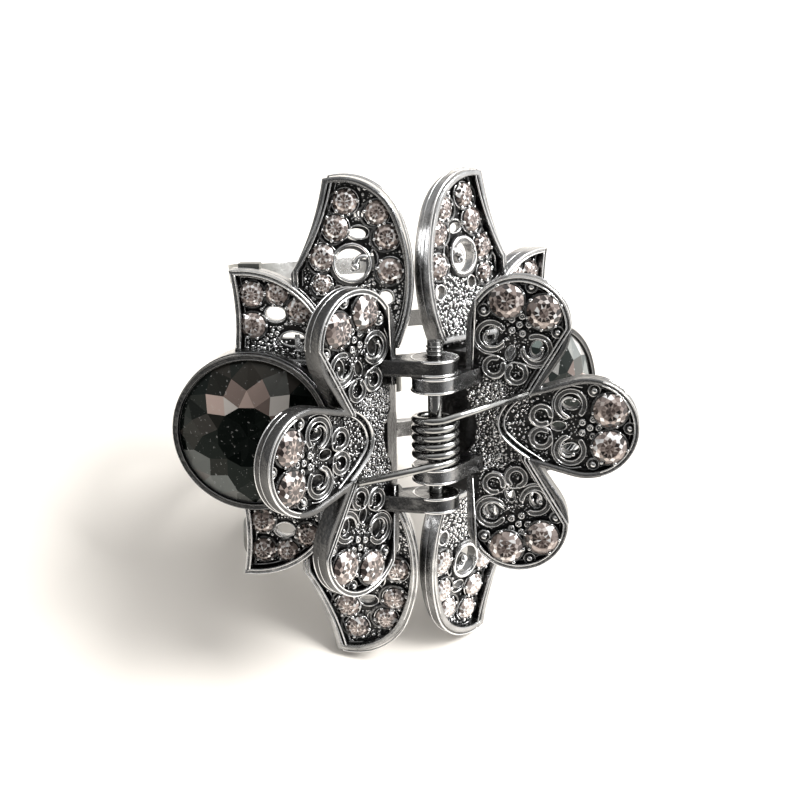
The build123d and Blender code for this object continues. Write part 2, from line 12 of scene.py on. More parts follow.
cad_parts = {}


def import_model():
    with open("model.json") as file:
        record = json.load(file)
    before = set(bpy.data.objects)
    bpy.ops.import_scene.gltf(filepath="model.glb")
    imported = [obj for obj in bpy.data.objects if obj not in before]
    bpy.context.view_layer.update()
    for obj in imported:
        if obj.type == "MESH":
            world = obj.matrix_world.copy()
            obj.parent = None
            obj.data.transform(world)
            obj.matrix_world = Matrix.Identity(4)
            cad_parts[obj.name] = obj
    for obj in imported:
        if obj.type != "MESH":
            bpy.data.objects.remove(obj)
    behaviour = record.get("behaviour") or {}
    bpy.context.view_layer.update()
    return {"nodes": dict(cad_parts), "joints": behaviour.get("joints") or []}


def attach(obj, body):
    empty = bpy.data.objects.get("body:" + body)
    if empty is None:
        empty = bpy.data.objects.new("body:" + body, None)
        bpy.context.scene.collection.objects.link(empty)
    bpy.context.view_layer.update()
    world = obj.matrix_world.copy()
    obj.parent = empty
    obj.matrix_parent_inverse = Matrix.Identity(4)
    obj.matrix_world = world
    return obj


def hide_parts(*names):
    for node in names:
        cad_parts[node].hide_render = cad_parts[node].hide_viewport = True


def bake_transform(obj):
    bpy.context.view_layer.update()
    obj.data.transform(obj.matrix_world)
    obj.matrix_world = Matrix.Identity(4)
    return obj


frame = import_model()
MM = 0.001

# The clip's own frame: x across, y back from the hinge, z up along the hinge, in millimetres
hinge = frame["joints"][0]
ORIGIN = Vector(hinge["pos_m"])
UP = -Vector(hinge["axis"]).normalized()
ACROSS = Vector((1, 0, 0))
BACK = UP.cross(ACROSS)


def world(x, y, z):
    """A point of the clip's own frame, in the frame of the model"""
    return ORIGIN + (x * ACROSS + y * BACK + z * UP) * MM


def world_direction(x, y, z):
    """A direction of the clip's own frame, in the frame of the model"""
    return x * ACROSS + y * BACK + z * UP


# Names with the sign of their direction across or along the hinge
SIDES = (("left", -1), ("right", 1))
LEVELS = (("upper", 1), ("lower", -1))

# Plates: angles in degrees; rims are widths, floors and tops heights over a plate's face
HANDLE_ANGLE = 28.0
HANDLE_SET_BACK = 2.4
HANDLE_RISE = 0.3
HANDLE_THICKNESS = 2.3
HANDLE_FLOOR = -1.4
HANDLE_RIM = 0.55
HANDLE_RIM_TOP = -0.4
RELIEF_TOP = HANDLE_FLOOR + 0.5
PETAL_COLLAR_TOP = HANDLE_FLOOR + 0.85
JAW_ANGLE = 26.0
JAW_SET_BACK = 2.7
LEAF_TILT = 4.4
TILT_START = 10.0
LEAF_FLOOR = -1.2
LEAF_RIM = 0.55
LEAF_COLLAR_TOP = LEAF_FLOOR + 0.45

# Petals: round end out and up, root out and up
PETAL_RADIUS = 5.2
ROOT_RADIUS = 3.2
PETALS = {
    "upper": (9.2, 10.2, 7.2, 3.6),
    "middle": (16.1, 0.0, 8.6, 0.0),
    "lower": (9.2, -10.2, 7.2, -3.6),
}
HUB_INNER = 4.05
HUB_OUTER = 8.0
HUB_HALF_HEIGHT = 5.2
HUB_CORNER = 9.2
SPRING_BAY = 4.85
# Circles from root to round end that a petal's depth is taken from
DEPTH_STEPS = 12
# Ridge on the hub, round the middle petal's root
KEEL = (
    (11.6, 4.5), (10.0, 4.05), (8.5, 3.1), (7.5, 1.8), (7.2, 0.5), (7.6, -0.7), (8.8, -1.9),
    (10.3, -3.0), (11.6, -3.9),
)

# Ornament of one petal in shares of its radius, along it and across it
PETAL_STONES = {"left": (0.44, 0.37), "right": (0.44, -0.37)}
BALLS = ((0.13, 0.74), (0.82, 0.0), (0.13, -0.74))
BEADS = ((0.06, 0.0), (0.23, 0.0), (0.115, 0.17), (-0.09, 0.105), (-0.09, -0.105), (0.115, -0.17))
# Half of the line that winds from a comma round the ring beside it
TAIL = (
    (-0.1, 0.8), (-0.32, 0.83), (-0.55, 0.74), (-0.67, 0.52), (-0.66, 0.3), (-0.7, 0.08),
    (-0.86, 0.0), (-1.04, 0.05), (-1.13, 0.2),
)
# along, across, radius, start angle, sweep
COMMAS = ((-0.32, 0.46, 0.27, -40.0, 290.0), (-0.32, -0.46, 0.27, -250.0, 290.0))
RINGS = ((-0.88, 0.23, 0.18, 0.0, 300.0), (-0.88, -0.23, 0.18, 60.0, 300.0))
# along, across, half-length, half-width
PETAL_GAPS = ((-0.31, 0.45, 0.16, 0.1), (-0.31, -0.45, 0.16, 0.1), (-0.55, 0.0, 0.14, 0.08))

# Leaves: places in shares of the leaf's sizes, stone radii in shares of LEAF_STONE_RADIUS
TALL_TIP_OUT = 9.5
TALL_TIP_UP = 25.6
TALL_FOOT_UP = 8.5
TALL_OUTER_EDGE = 13.2
TALL_EDGE_END = 4.6
# Points of its edge: out in millimetres, up in shares of TALL_TIP_UP
TALL_FLANK = (1.1, 0.62)
TALL_SHOULDER = (2.2, 0.84)
TALL_CREST = (5.6, 0.985)
TALL_HOLLOW = (10.93, 0.81)
TALL_FOOT_OUT = 2.65
TALL_STONES = (
    (0.599, 0.898, 0.98), (0.675, 0.797, 1.02), (0.357, 0.855, 0.96), (0.283, 0.762, 1.00),
    (0.262, 0.629, 1.02), (0.780, 0.684, 1.02), (0.787, 0.578, 0.75),
)
# out, up, half-width, half-height
TALL_GAPS = (
    (0.477, 0.852, 0.033, 0.017), (0.500, 0.779, 0.074, 0.023), (0.390, 0.672, 0.023, 0.036),
    (0.659, 0.545, 0.041, 0.023), (0.295, 0.525, 0.052, 0.027),
)
# out, up, radius, and for the hook its start angle and sweep
TALL_EYE = (0.553, 0.660, 0.126)
TALL_HOOK = (0.462, 0.652, 0.064, -10.0, 125.0)
SHORT_TIP_OUT = 19.7
SHORT_TIP_UP = 16.3
SHORT_INNER_EDGE = 10.7
SHORT_INNER_UP = 0.73 * SHORT_TIP_UP
SHORT_CREST_UP = 0.965 * SHORT_TIP_UP
SHORT_WAIST = (19.2, 0.7 * SHORT_TIP_UP)
SHORT_FOOT_UP = 6.6
SHORT_STONES = (
    (0.893, 0.846, 1.02), (0.761, 0.850, 0.93), (0.649, 0.740, 1.00), (0.893, 0.647, 1.04),
)
SHORT_GAPS = ((0.777, 0.715, 0.053, 0.046), (0.690, 0.558, 0.062, 0.041))
CUP_RADIUS = 8.2
CUP_OUT = 17.6
CUP_RISE = 2.4
BRIDGE_INNER = 3.2
BRIDGE_HALF_HEIGHT = 9.0

# Cut stones; the shares are radii in shares of the girdle's
Cut = namedtuple("Cut", "radius crown girdle depth sides table")
PETAL_STONE_RADIUS = 1.65
PETAL_STONE_CROWN = 0.5
LEAF_STONE_RADIUS = 1.2
LEAF_STONE_CROWN = 0.42
STONE_GIRDLE = 0.14
STONE_DEPTH = 0.6
STONE_CUTS = 12
STONE_SPREAD = 1.04
CRYSTAL = Cut(radius=7.6, crown=1.9, girdle=0.35, depth=2.4, sides=12, table=0.42)
CRYSTAL_LIFT = CUP_RISE - 2 * CRYSTAL.girdle
TABLE_SHARE = 0.55
STAR_SHARE = 0.8
STAR_RISE = 0.6

# Lines along edges: inset, height over the plate's face, half-thickness, depth in shares of it
PETAL_LINES = (
    (0.09, HANDLE_RIM_TOP, 0.1, 1.0),
    (HANDLE_RIM - 0.07, HANDLE_RIM_TOP, 0.1, 1.0),
    (HANDLE_RIM + 0.32, HANDLE_FLOOR + 0.26, 0.075, 2.6),
    (0.0, HANDLE_RIM_TOP - 1.15, 0.05, 1.0),
    (0.03, 0.06 - HANDLE_THICKNESS, 0.08, 1.0),
)
LEAF_LINES = (
    (0.09, 0.0, 0.1, 1.0),
    (LEAF_RIM - 0.07, 0.0, 0.1, 1.0),
    (LEAF_RIM + 0.28, LEAF_FLOOR + 0.3, 0.075, 2.8),
    (0.02, -1.0, 0.05, 1.0),
)
# Lines round the cup: inset, drop below its top, half-thickness
CUP_LINES = ((0.06, 0.02, 0.09), (0.5, 0.0, 0.07), (-0.02, 0.8, 0.08), (0.63, 0.33, 0.05))

# Balls and beads of a petal: radius, ring's radius, room that granules keep off
BALL = (0.42, 0.6, 0.66)
BEAD = (0.14, 0.27, 0.4)
# Outlines of commas and rings: half-width, room, degrees a step, pieces of a round end
SLOT_HALF_WIDTH = 0.22
SLOT_ROOM = 0.32
SLOT_STEP = 14
CAP_STEPS = 5
# Curl in a comma: lead and sweep in degrees, reach and half-thickness with what they lose on it
CURL_STEPS = 14
CURL_LEAD, CURL_SWEEP = 20, 215
CURL_REACH, REACH_LOST = 0.98, 0.58
CURL_THICK, THICK_LOST = 0.17, 0.05

# Claws of one stone: swing in degrees, reach past it, lift over its collar, range of radii
CLAWS = 6
PETAL_CLAWS = (12, 0.13, 0.12, (0.16, 0.25))
LEAF_CLAWS = (14, 0.12, 0.13, (0.16, 0.26))

# Free floors: how far granules keep inside a petal's and a leaf's edge
PETAL_MARGIN = 0.95
LEAF_MARGIN = LEAF_RIM + 0.42
# Granules of one region: how many are wanted and their range of radii, large ones first
PETAL_GRANULES = ((90, (0.17, 0.28)), (330, (0.08, 0.15)))
HUB_GRANULES = ((60, (0.2, 0.32)), (420, (0.1, 0.17)))
LEAF_GRANULES = ((140, (0.2, 0.34)), (480, (0.1, 0.17)))
BRIDGE_GRANULES = ((90, (0.2, 0.34)), (420, (0.1, 0.18)))
GRANULE_TRIES = 12
GRANULE_OVERLAP = 0.85
GRANULE_LIFT = 0.25

# Hinge
LUG_RADIUS = 2.3
LUG_HEIGHT = 1.6
LUG_BASES = {"left": (6.5, -7.5), "right": (4.75, -4.5)}
PIN_RADIUS = 0.75
THREAD_FOOT = 8.35
THREAD_PITCH = 0.42
THREAD_RINGS = 3
WIRE_RADIUS = 0.4
COIL_RADIUS = 2.05
COIL_TURNS = 5
COIL_STEPS = 28
COIL_START = -2.4
COIL_END = 2.1
# Arms of the spring: reach along the handle, lift over its face, and their ends along the hinge
SPRING_ARM_REACH = 10.2
SPRING_ARM_LIFT = 0.05
SPRING_ARM_ENDS = {-1: -3.1, 1: 3.9}


class Plate:
    """One face of the clip: u outward, v up along it, w out of its front, in millimetres"""

    def __init__(self, angle, set_back, sign, flip=1, tilt=0.0, start=0.0):
        turn, lean = radians(angle), radians(tilt)
        normal = Vector((sign * sin(turn), -cos(turn), 0))
        up = Vector((0, 0, flip))
        self.out = Vector((sign * cos(turn), sin(turn), 0))
        self.up = up * cos(lean) - normal * sin(lean)
        self.normal = normal * cos(lean) + up * sin(lean)
        self.base = Vector((0, set_back, flip * start))

    def at(self, u, v, w=0.0):
        p = self.base + u * self.out + v * self.up + w * self.normal
        return world(p.x, p.y, p.z)

    def path(self, points, w):
        return [self.at(u, v, w) for u, v in points]

    def facing(self):
        return world_direction(*self.normal)


def handle_plate(sign):
    return Plate(-HANDLE_ANGLE, HANDLE_SET_BACK, sign)


def jaw_plate(sign, flip=1):
    return Plate(JAW_ANGLE, JAW_SET_BACK, sign, flip)


def tall_plate(sign, flip):
    return Plate(JAW_ANGLE, JAW_SET_BACK, sign, flip, LEAF_TILT, TILT_START)


def petal_turn(petal):
    """A petal's direction from its root, in degrees from outward"""
    out, up, root_out, root_up = PETALS[petal]
    return atan2(up - root_up, out - root_out) * 180 / pi


def on_petal(petal, on, off):
    """A point of a petal's ornament, on its handle's face"""
    out, up = PETALS[petal][:2]
    angle, u, v = radians(petal_turn(petal)), on * PETAL_RADIUS, off * PETAL_RADIUS
    return (
        out + (u * cos(angle) - v * sin(angle)),
        HANDLE_RISE + up + (u * sin(angle) + v * cos(angle)),
    )


def petal_outline(petal, inset, steps=96):
    """The hull of a petal's round end and its root, drawn in by the inset"""
    out, up, root_out, root_up = PETALS[petal]
    length = hypot(out - root_out, up - root_up)
    meet = acos((PETAL_RADIUS - ROOT_RADIUS) / length)
    course = radians(petal_turn(petal))
    points = []
    for i in range(steps):
        angle = 2 * pi * i / steps - pi
        at_tip = abs(angle) <= meet
        u, v = (out, up) if at_tip else (root_out, root_up)
        reach = (PETAL_RADIUS if at_tip else ROOT_RADIUS) - inset
        points.append(around((u, HANDLE_RISE + v), reach, angle + course))
    return points


def petal_depth(petal, u, v):
    """How deep a point lies inside a petal's outline, below zero outside it"""
    out, up, root_out, root_up = PETALS[petal]
    depths = []
    for i in range(DEPTH_STEPS + 1):
        share = i / DEPTH_STEPS
        x, y = root_out + (out - root_out) * share, HANDLE_RISE + root_up + (up - root_up) * share
        reach = ROOT_RADIUS + (PETAL_RADIUS - ROOT_RADIUS) * share
        depths.append(reach - hypot(u - x, v - y))
    return max(depths)


def petal_run(petal, inset):
    """The stretch of a petal's rim that no neighbour and no hub cuts away"""
    points = petal_outline(petal, inset, 192)

    def free(point):
        u, v = point
        if u < HUB_OUTER and abs(v - HANDLE_RISE) < HUB_HALF_HEIGHT:
            return False
        return all(petal_depth(other, u, v) < HANDLE_RIM for other in PETALS if other != petal)

    start = next(i for i, point in enumerate(points) if free(point) and not free(points[i - 1]))
    return list(takewhile(free, points[start:] + points[:start]))


def smooth(points, steps=6):
    """A Catmull-Rom curve through a few points"""
    last = len(points) - 1
    made = []
    for i in range(last):
        near = [points[max(0, min(last, i + k))] for k in (-1, 0, 1, 2)]
        for k in range(steps):
            t = k / steps
            made.append(tuple(
                0.5 * (2 * b + (c - a) * t + (2 * a - 5 * b + 4 * c - d) * t * t
                       + (3 * b - a - 3 * c + d) * t ** 3)
                for a, b, c, d in zip(*near)
            ))
    made.append(tuple(points[-1]))
    return made


def around(centre, reach, angle):
    """The point at a reach and an angle from a centre"""
    return centre[0] + reach * cos(angle), centre[1] + reach * sin(angle)


def arc_through(a, b, c, steps=20):
    """The arc from a through b to c"""
    ax, ay, bx, by, cx, cy = *a, *b, *c
    aa, bb, cc = ax * ax + ay * ay, bx * bx + by * by, cx * cx + cy * cy
    scale = 2 * (ax * (by - cy) + bx * (cy - ay) + cx * (ay - by))
    u = (aa * (by - cy) + bb * (cy - ay) + cc * (ay - by)) / scale
    v = (aa * (cx - bx) + bb * (ax - cx) + cc * (bx - ax)) / scale
    reach = hypot(ax - u, ay - v)
    start, end = atan2(ay - v, ax - u), atan2(cy - v, cx - u)
    middle = (atan2(by - v, bx - u) - start) % (2 * pi)
    sweep = (end - start) % (2 * pi)
    if middle > sweep:
        sweep -= 2 * pi
    return [around((u, v), reach, start + sweep * i / steps) for i in range(steps + 1)]


def drawn_in(points, amount):
    """An open line moved to its right-hand side"""
    made = []
    for i, (u, v) in enumerate(points):
        before, after = points[max(i - 1, 0)], points[min(i + 1, len(points) - 1)]
        du, dv = after[0] - before[0], after[1] - before[1]
        length = hypot(du, dv) or 1.0
        made.append((u + dv / length * amount, v - du / length * amount))
    return made


def tall_edge():
    """The tall leaf's edge, clockwise from its foot over its tip to below the short leaf's tip"""
    flank, shoulder, crest, hollow = (
        (out, up * TALL_TIP_UP - TILT_START)
        for out, up in (TALL_FLANK, TALL_SHOULDER, TALL_CREST, TALL_HOLLOW)
    )
    tip = (TALL_TIP_OUT, TALL_TIP_UP - TILT_START)
    inner = arc_through((TALL_FOOT_OUT, TALL_FOOT_UP - TILT_START), flank, shoulder)
    crown = arc_through(shoulder, crest, tip)
    outer = arc_through(tip, hollow, (TALL_OUTER_EDGE, SHORT_TIP_UP - TILT_START))
    return inner + crown[1:] + outer[1:] + [(TALL_OUTER_EDGE, TALL_EDGE_END)]


def short_edge():
    """The short leaf's edge: over its crown to its tip, and down its outer side to the cup"""
    tip = (SHORT_TIP_OUT, SHORT_TIP_UP)
    crest = ((SHORT_INNER_EDGE + SHORT_TIP_OUT) / 2, SHORT_CREST_UP)
    crown = arc_through((SHORT_INNER_EDGE, SHORT_INNER_UP), crest, tip)
    outer = arc_through(tip, SHORT_WAIST, (SHORT_TIP_OUT, SHORT_FOOT_UP))
    return [(SHORT_INNER_EDGE, SHORT_FOOT_UP)] + crown + outer[1:-3]


def within(outline, u, v):
    """Whether a point lies inside a closed line"""
    inside = False
    for (ax, ay), (bx, by) in zip(outline, outline[1:] + outline[:1]):
        if (ay > v) != (by > v) and u < ax + (v - ay) / (by - ay) * (bx - ax):
            inside = not inside
    return inside


Leaf = namedtuple("Leaf", "plate edge width height start stones gaps")
LEAVES = {
    "tall": Leaf(
        tall_plate, tall_edge, TALL_OUTER_EDGE, TALL_TIP_UP, TILT_START, TALL_STONES, TALL_GAPS
    ),
    "short": Leaf(
        jaw_plate, short_edge, SHORT_TIP_OUT, SHORT_TIP_UP, 0.0, SHORT_STONES, SHORT_GAPS
    ),
}


def on_leaf(leaf, out, up):
    """A point of a leaf's ornament, on its plate's face"""
    return out * leaf.width, up * leaf.height - leaf.start


def linked(name, data):
    """A new object in the scene"""
    obj = bpy.data.objects.new(name, data)
    bpy.context.scene.collection.objects.link(obj)
    return obj


class Build:
    """Gathers tubes, balls and facets in one mesh; lengths in millimetres, places in the model"""

    def __init__(self):
        self.points, self.faces, self.tints = [], [], []

    def add(self, points, faces, tints=()):
        """Takes a closed form, with a tint for each face if its material reads one"""
        base = len(self.points)
        self.points.extend(points)
        self.faces.extend([tuple(base + i for i in face) for face in faces])
        self.tints.extend(tints)

    def tube(self, path, radius, sides, closed=False, flatten=1.0, normal=None):
        """A wire of round section along a path, with its radius constant or one for each point"""
        path = [Vector(p) for p in path]
        count = len(path)
        radii = radius if isinstance(radius, list) else [radius] * count
        rings, reference = [], normal
        for i, point in enumerate(path):
            before = path[i - 1] if (i or closed) else point
            after = path[(i + 1) % count] if (i < count - 1 or closed) else point
            tangent = (after - before).normalized()
            if reference is None:
                reference = tangent.orthogonal()
            side = tangent.cross(reference).normalized()
            top = side.cross(tangent).normalized()
            if normal is None:
                reference = top
            ring = []
            for k in range(sides):
                angle = 2 * pi * k / sides
                spoke = side * cos(angle) + top * sin(angle) * flatten
                ring.append(point + spoke * radii[i] * MM)
            rings.append(ring)
        points = [p for ring in rings for p in ring]
        faces = []
        for i in range(count if closed else count - 1):
            j = (i + 1) % count
            for k in range(sides):
                m = (k + 1) % sides
                faces.append((i * sides + k, i * sides + m, j * sides + m, j * sides + k))
        if not closed:
            faces.append(tuple(range(sides))[::-1])
            faces.append(tuple((count - 1) * sides + k for k in range(sides)))
        self.add(points, faces)

    def ball(self, centre, radius, facing, flatten, rings, sides):
        """A round bead, flattened along its facing"""
        top = facing.normalized()
        side = top.orthogonal().normalized()
        other = top.cross(side)
        points = [centre + top * radius * flatten * MM]
        for i in range(1, rings):
            lift, reach = cos(pi * i / rings), sin(pi * i / rings)
            for k in range(sides):
                angle = 2 * pi * k / sides
                spoke = side * cos(angle) * reach + other * sin(angle) * reach
                points.append(centre + (spoke + top * lift * flatten) * radius * MM)
        points.append(centre - top * radius * flatten * MM)
        faces = [(0, 1 + k, 1 + (k + 1) % sides) for k in range(sides)]
        for i in range(rings - 2):
            a, b = 1 + i * sides, 1 + (i + 1) * sides
            for k in range(sides):
                m = (k + 1) % sides
                faces.append((a + k, b + k, b + m, a + m))
        last, a = len(points) - 1, 1 + (rings - 2) * sides
        faces += [(last, a + (k + 1) % sides, a + k) for k in range(sides)]
        self.add(points, faces)

    def piece(self, name, body, material, slot, shaded_smooth=True):
        """Makes the object, riding a body if one is given"""
        mesh = bpy.data.meshes.new(name)
        mesh.from_pydata([tuple(p) for p in self.points], [], self.faces)
        mesh.validate()
        if shaded_smooth:
            mesh.shade_smooth()
        if self.tints:
            tint = mesh.attributes.new("tint", "FLOAT", "FACE")
            tint.data.foreach_set("value", self.tints)
        mesh.materials.append(material)
        obj = linked(name, mesh)
        if body:
            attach(obj, body)
        return obj


# Materials
def grey(level):
    return (level, level, level)


def new_material(name):
    material = bpy.data.materials.new(name)
    material.use_nodes = True
    tree = material.node_tree
    return material, tree, tree.nodes["Principled BSDF"]


def node(tree, kind, **values):
    made = tree.nodes.new(kind)
    for key, value in values.items():
        if key in made.inputs:
            made.inputs[key].default_value = value
        else:
            setattr(made, key, value)
    return made


def math(tree, operation, a, b=None):
    """A math node on sockets or numbers"""
    made = tree.nodes.new("ShaderNodeMath")
    made.operation = operation
    for socket, value in zip(made.inputs, (a, b)):
        if value is None:
            continue
        if isinstance(value, (int, float)):
            socket.default_value = value
        else:
            tree.links.new(value, socket)
    return made.outputs["Value"]


def along(tree, vector, direction):
    """How far a vector socket reaches along a direction"""
    made = node(tree, "ShaderNodeVectorMath", operation="DOT_PRODUCT")
    tree.links.new(vector, made.inputs[0])
    made.inputs[1].default_value = tuple(direction)
    return made.outputs["Value"]


def stretch(tree, value, low, high, to_low=0.0, to_high=1.0):
    """Maps low to high onto another range, clamped"""
    made = tree.nodes.new("ShaderNodeMapRange")
    tree.links.new(value, made.inputs["Value"])
    ranges = {"From Min": low, "From Max": high, "To Min": to_low, "To Max": to_high}
    for name, number in ranges.items():
        made.inputs[name].default_value = number
    return made.outputs["Result"]


def ramp(tree, source, stops):
    """Maps a value to the colours at the given stops"""
    made = tree.nodes.new("ShaderNodeValToRGB")
    elements = made.color_ramp.elements
    while len(elements) < len(stops):
        elements.new(0.5)
    for element, (place, shade) in zip(elements, stops):
        element.position = place
        element.color = (*shade, 1)
    tree.links.new(source, made.inputs["Fac"])
    return made.outputs["Color"]


def mixed(tree, factor, a, b):
    """A mix of two colours, given as sockets or as values"""
    made = node(tree, "ShaderNodeMix", data_type="RGBA")
    for name, value in (("Factor", factor), ("A", a), ("B", b)):
        if isinstance(value, tuple):
            made.inputs[name].default_value = (*value, 1)
        else:
            tree.links.new(value, made.inputs[name])
    return made.outputs["Result"]


def reach_from(tree, place, origin, direction):
    """How far the shaded point lies from an origin along a direction, in metres"""
    reach = along(tree, place.outputs["Object"], direction)
    return math(tree, "SUBTRACT", reach, direction.dot(origin))


def tilt_drop(tree, place, plate):
    """How far the tilted tall leaves lie behind the jaw plate's face, in metres"""
    rise = reach_from(tree, place, ORIGIN, UP)
    past = math(tree, "SUBTRACT", math(tree, "ABSOLUTE", rise), TILT_START * MM)
    past = math(tree, "MAXIMUM", past, 0.0)
    outward = reach_from(tree, place, plate.at(0, 0), world_direction(*plate.out))
    tall = math(tree, "LESS_THAN", outward, TALL_OUTER_EDGE * MM)
    return math(tree, "MULTIPLY", math(tree, "MULTIPLY", past, tan(radians(LEAF_TILT))), tall)


# Heights over the floor for what stands proud, over the face for the cup and the handle's walls
PROUD_HEIGHTS = (0.12, 0.95)
CUP_HEIGHTS = (0.3, 0.8)
CUP_SHARE = 0.15
# Painted shade on the handle's walls: their share rises from the first at the foot to the second at
# WALL_TOP
WALL_TOP = -0.5
WALL_SHARES = (0.2, 0.75)
# Cosines between a surface and the plate's front direction
WALL_LEAN = (0.85, 0.45)
BACK_LEAN = (-0.6, -0.9)


def plate_shade(tree, place, plate, floor, leaves=False):
    """Nought on a plate's front floor, one on rims and backs, less on cups, and on handle walls
    less toward their foot as painted shade
    """
    facing = plate.facing()
    height = reach_from(tree, place, plate.at(0, 0), facing)
    if leaves:
        height = math(tree, "ADD", height, tilt_drop(tree, place, plate))
    proud = stretch(tree, height, *((floor + rise) * MM for rise in PROUD_HEIGHTS))
    lean = along(tree, place.outputs["Normal"], facing)
    wall = stretch(tree, lean, *WALL_LEAN)
    if leaves:
        cup_foot, cup_top = (level * MM for level in CUP_HEIGHTS)
        cup = stretch(tree, height, cup_foot, cup_top, 1.0, CUP_SHARE)
        proud = math(tree, "MULTIPLY", proud, cup)
        share = stretch(tree, height, 0.0, cup_top, 1.0, CUP_SHARE)
    else:
        # Painted shade: the handle's walls darken toward their foot
        wall_foot, wall_top = (floor - 0.3) * MM, WALL_TOP * MM
        share = stretch(tree, height, wall_foot, wall_top, *WALL_SHARES)
    wall = math(tree, "MULTIPLY", wall, share)
    back = stretch(tree, lean, *BACK_LEAN)
    return math(tree, "MAXIMUM", math(tree, "MAXIMUM", proud, wall), back)


def plated_metal(
    name, bright, dark, roughness, grain, shade=None, hollow=(0.3, 0.8), rounding=0.00006
):
    """Antique plated casting: polished where it stands proud, with dark patina in its hollows and
    painted shade where its shade mask darkens it
    """
    material, tree, shader = new_material(name)
    place = node(tree, "ShaderNodeTexCoord")
    clouds = node(tree, "ShaderNodeTexNoise", Scale=700.0, Detail=4.0)
    waves = node(tree, "ShaderNodeTexNoise", Scale=420.0, Detail=1.0)
    fine = node(tree, "ShaderNodeTexVoronoi", Scale=2600.0)
    pits = node(tree, "ShaderNodeTexNoise", Scale=4200.0, Detail=2.0)
    for texture in (clouds, waves, fine, pits):
        tree.links.new(place.outputs["Object"], texture.inputs["Vector"])
    occlusion = node(tree, "ShaderNodeAmbientOcclusion", Distance=0.0011, samples=6)
    mask = stretch(tree, occlusion.outputs["AO"], *hollow)
    if shade:
        mask = math(tree, "MULTIPLY", mask, shade(tree, place))
    cloudy = stretch(tree, clouds.outputs["Fac"], 0.3, 0.62, 0.72, 1.0)
    # Patina in hollows and painted shade from the shade mask, with cloudy variation
    wear_and_painted_shade = math(tree, "MULTIPLY", mask, cloudy)
    colour = mixed(tree, wear_and_painted_shade, dark, bright)
    tree.links.new(colour, shader.inputs["Base Color"])
    dull = stretch(tree, wear_and_painted_shade, 0.0, 1.0, roughness + 0.14, roughness)
    rough = math(tree, "ADD", dull, stretch(tree, pits.outputs["Fac"], 0.3, 0.7, -0.04, 0.06))
    tree.links.new(rough, shader.inputs["Roughness"])
    shader.inputs["Metallic"].default_value = 1.0
    rounded = node(tree, "ShaderNodeBevel", samples=4, Radius=rounding)
    pitted = math(tree, "MULTIPLY", pits.outputs["Fac"], 0.7)
    rough_cast = math(tree, "ADD", fine.outputs["Distance"], pitted)
    polish = stretch(tree, wear_and_painted_shade, 0.25, 0.8, grain, grain * 0.12)
    grained = math(tree, "MULTIPLY", rough_cast, polish)
    height = math(tree, "ADD", grained, math(tree, "MULTIPLY", waves.outputs["Fac"], 1.6))
    bump = node(tree, "ShaderNodeBump", Strength=1.0, Distance=0.00012)
    tree.links.new(height, bump.inputs["Height"])
    tree.links.new(rounded.outputs["Normal"], bump.inputs["Normal"])
    tree.links.new(bump.outputs["Normal"], shader.inputs["Normal"])
    return material


def faceted_stone(
    name, stops, roughness, metallic, dust_from, coat=1.0, gloss=0.5, cast=(1.0, 1.0, 1.0)
):
    """Foil-backed glass: each facet's tint is a painted reflection, its own share of the light,
    under a little dust
    """
    material, tree, shader = new_material(name)
    tint = node(tree, "ShaderNodeAttribute", attribute_name="tint")
    place = node(tree, "ShaderNodeTexCoord")
    dust = node(tree, "ShaderNodeTexNoise", Scale=2600.0, Detail=5.0)
    tree.links.new(place.outputs["Object"], dust.inputs["Vector"])
    specks = stretch(tree, dust.outputs["Fac"], dust_from, dust_from + 0.08)
    colour = ramp(tree, tint.outputs["Fac"], stops)
    dusty = mixed(tree, math(tree, "MULTIPLY", specks, 0.35), colour, grey(0.6))
    tree.links.new(dusty, shader.inputs["Base Color"])
    rough = stretch(tree, specks, 0.0, 1.0, roughness, roughness + 0.3)
    tree.links.new(rough, shader.inputs["Roughness"])
    shader.inputs["Metallic"].default_value = metallic
    shader.inputs["Coat Weight"].default_value = coat
    shader.inputs["Specular IOR Level"].default_value = gloss
    shader.inputs["Specular Tint"].default_value = (*cast, 1)
    shader.inputs["Coat Roughness"].default_value = 0.02
    return material


# Base lightness of each casting and of the relief on it: lit and shaded copies of one plating, set
# part by part as painted light and shade, darkest on the left handle
BODY_PAINTED_LIGHTNESS = {"handle_left": 0.14, "handle_right": 0.28, "jaw_left": 0.41, "jaw_right": 0.45}
RELIEF_PAINTED_LIGHTNESS = {"handle_left": 0.5, "handle_right": 0.66, "jaw_left": 0.9, "jaw_right": 0.95}
body_metal = {}
for side, sign in SIDES:
    for kind, plate, floor in (
        ("handle", handle_plate(sign), HANDLE_FLOOR), ("jaw", jaw_plate(sign), LEAF_FLOOR),
    ):
        name = f"{kind}_{side}"
        body_metal[name] = plated_metal(
            f"{kind}_metal_{side}", grey(BODY_PAINTED_LIGHTNESS[name]), grey(0.045), roughness=0.2,
            grain=0.5, rounding=0.0004,
            shade=partial(plate_shade, plate=plate, floor=floor, leaves=kind == "jaw"),
        )
relief_metal = {
    name: plated_metal(
        name + "_relief", grey(bright), grey(0.07), roughness=0.1, grain=0.06, hollow=(0.2, 0.68)
    )
    for name, bright in RELIEF_PAINTED_LIGHTNESS.items()
}
# Lighter copy of the plating for edge lines and lug lips: polished, and brightened further as
# painted highlight
rim_metal = plated_metal("rim_metal", grey(0.84), grey(0.2), roughness=0.14, grain=0.05)
cup_metal = plated_metal("cup_metal", grey(0.22), grey(0.05), roughness=0.14, grain=0.05)


def darker_roots_and_tip_shade(tree, place):
    """One along the polished middle of the left-hand teeth, falling to nought toward their roots,
    and at their tips between the leaves as painted shade
    """
    reach = reach_from(tree, place, ORIGIN, ACROSS)
    past_bend = stretch(tree, reach, -10.0 * MM, -6.0 * MM)
    return math(tree, "MULTIPLY", past_bend, stretch(tree, reach, 1.0 * MM, 2.5 * MM, 1.0, 0.0))
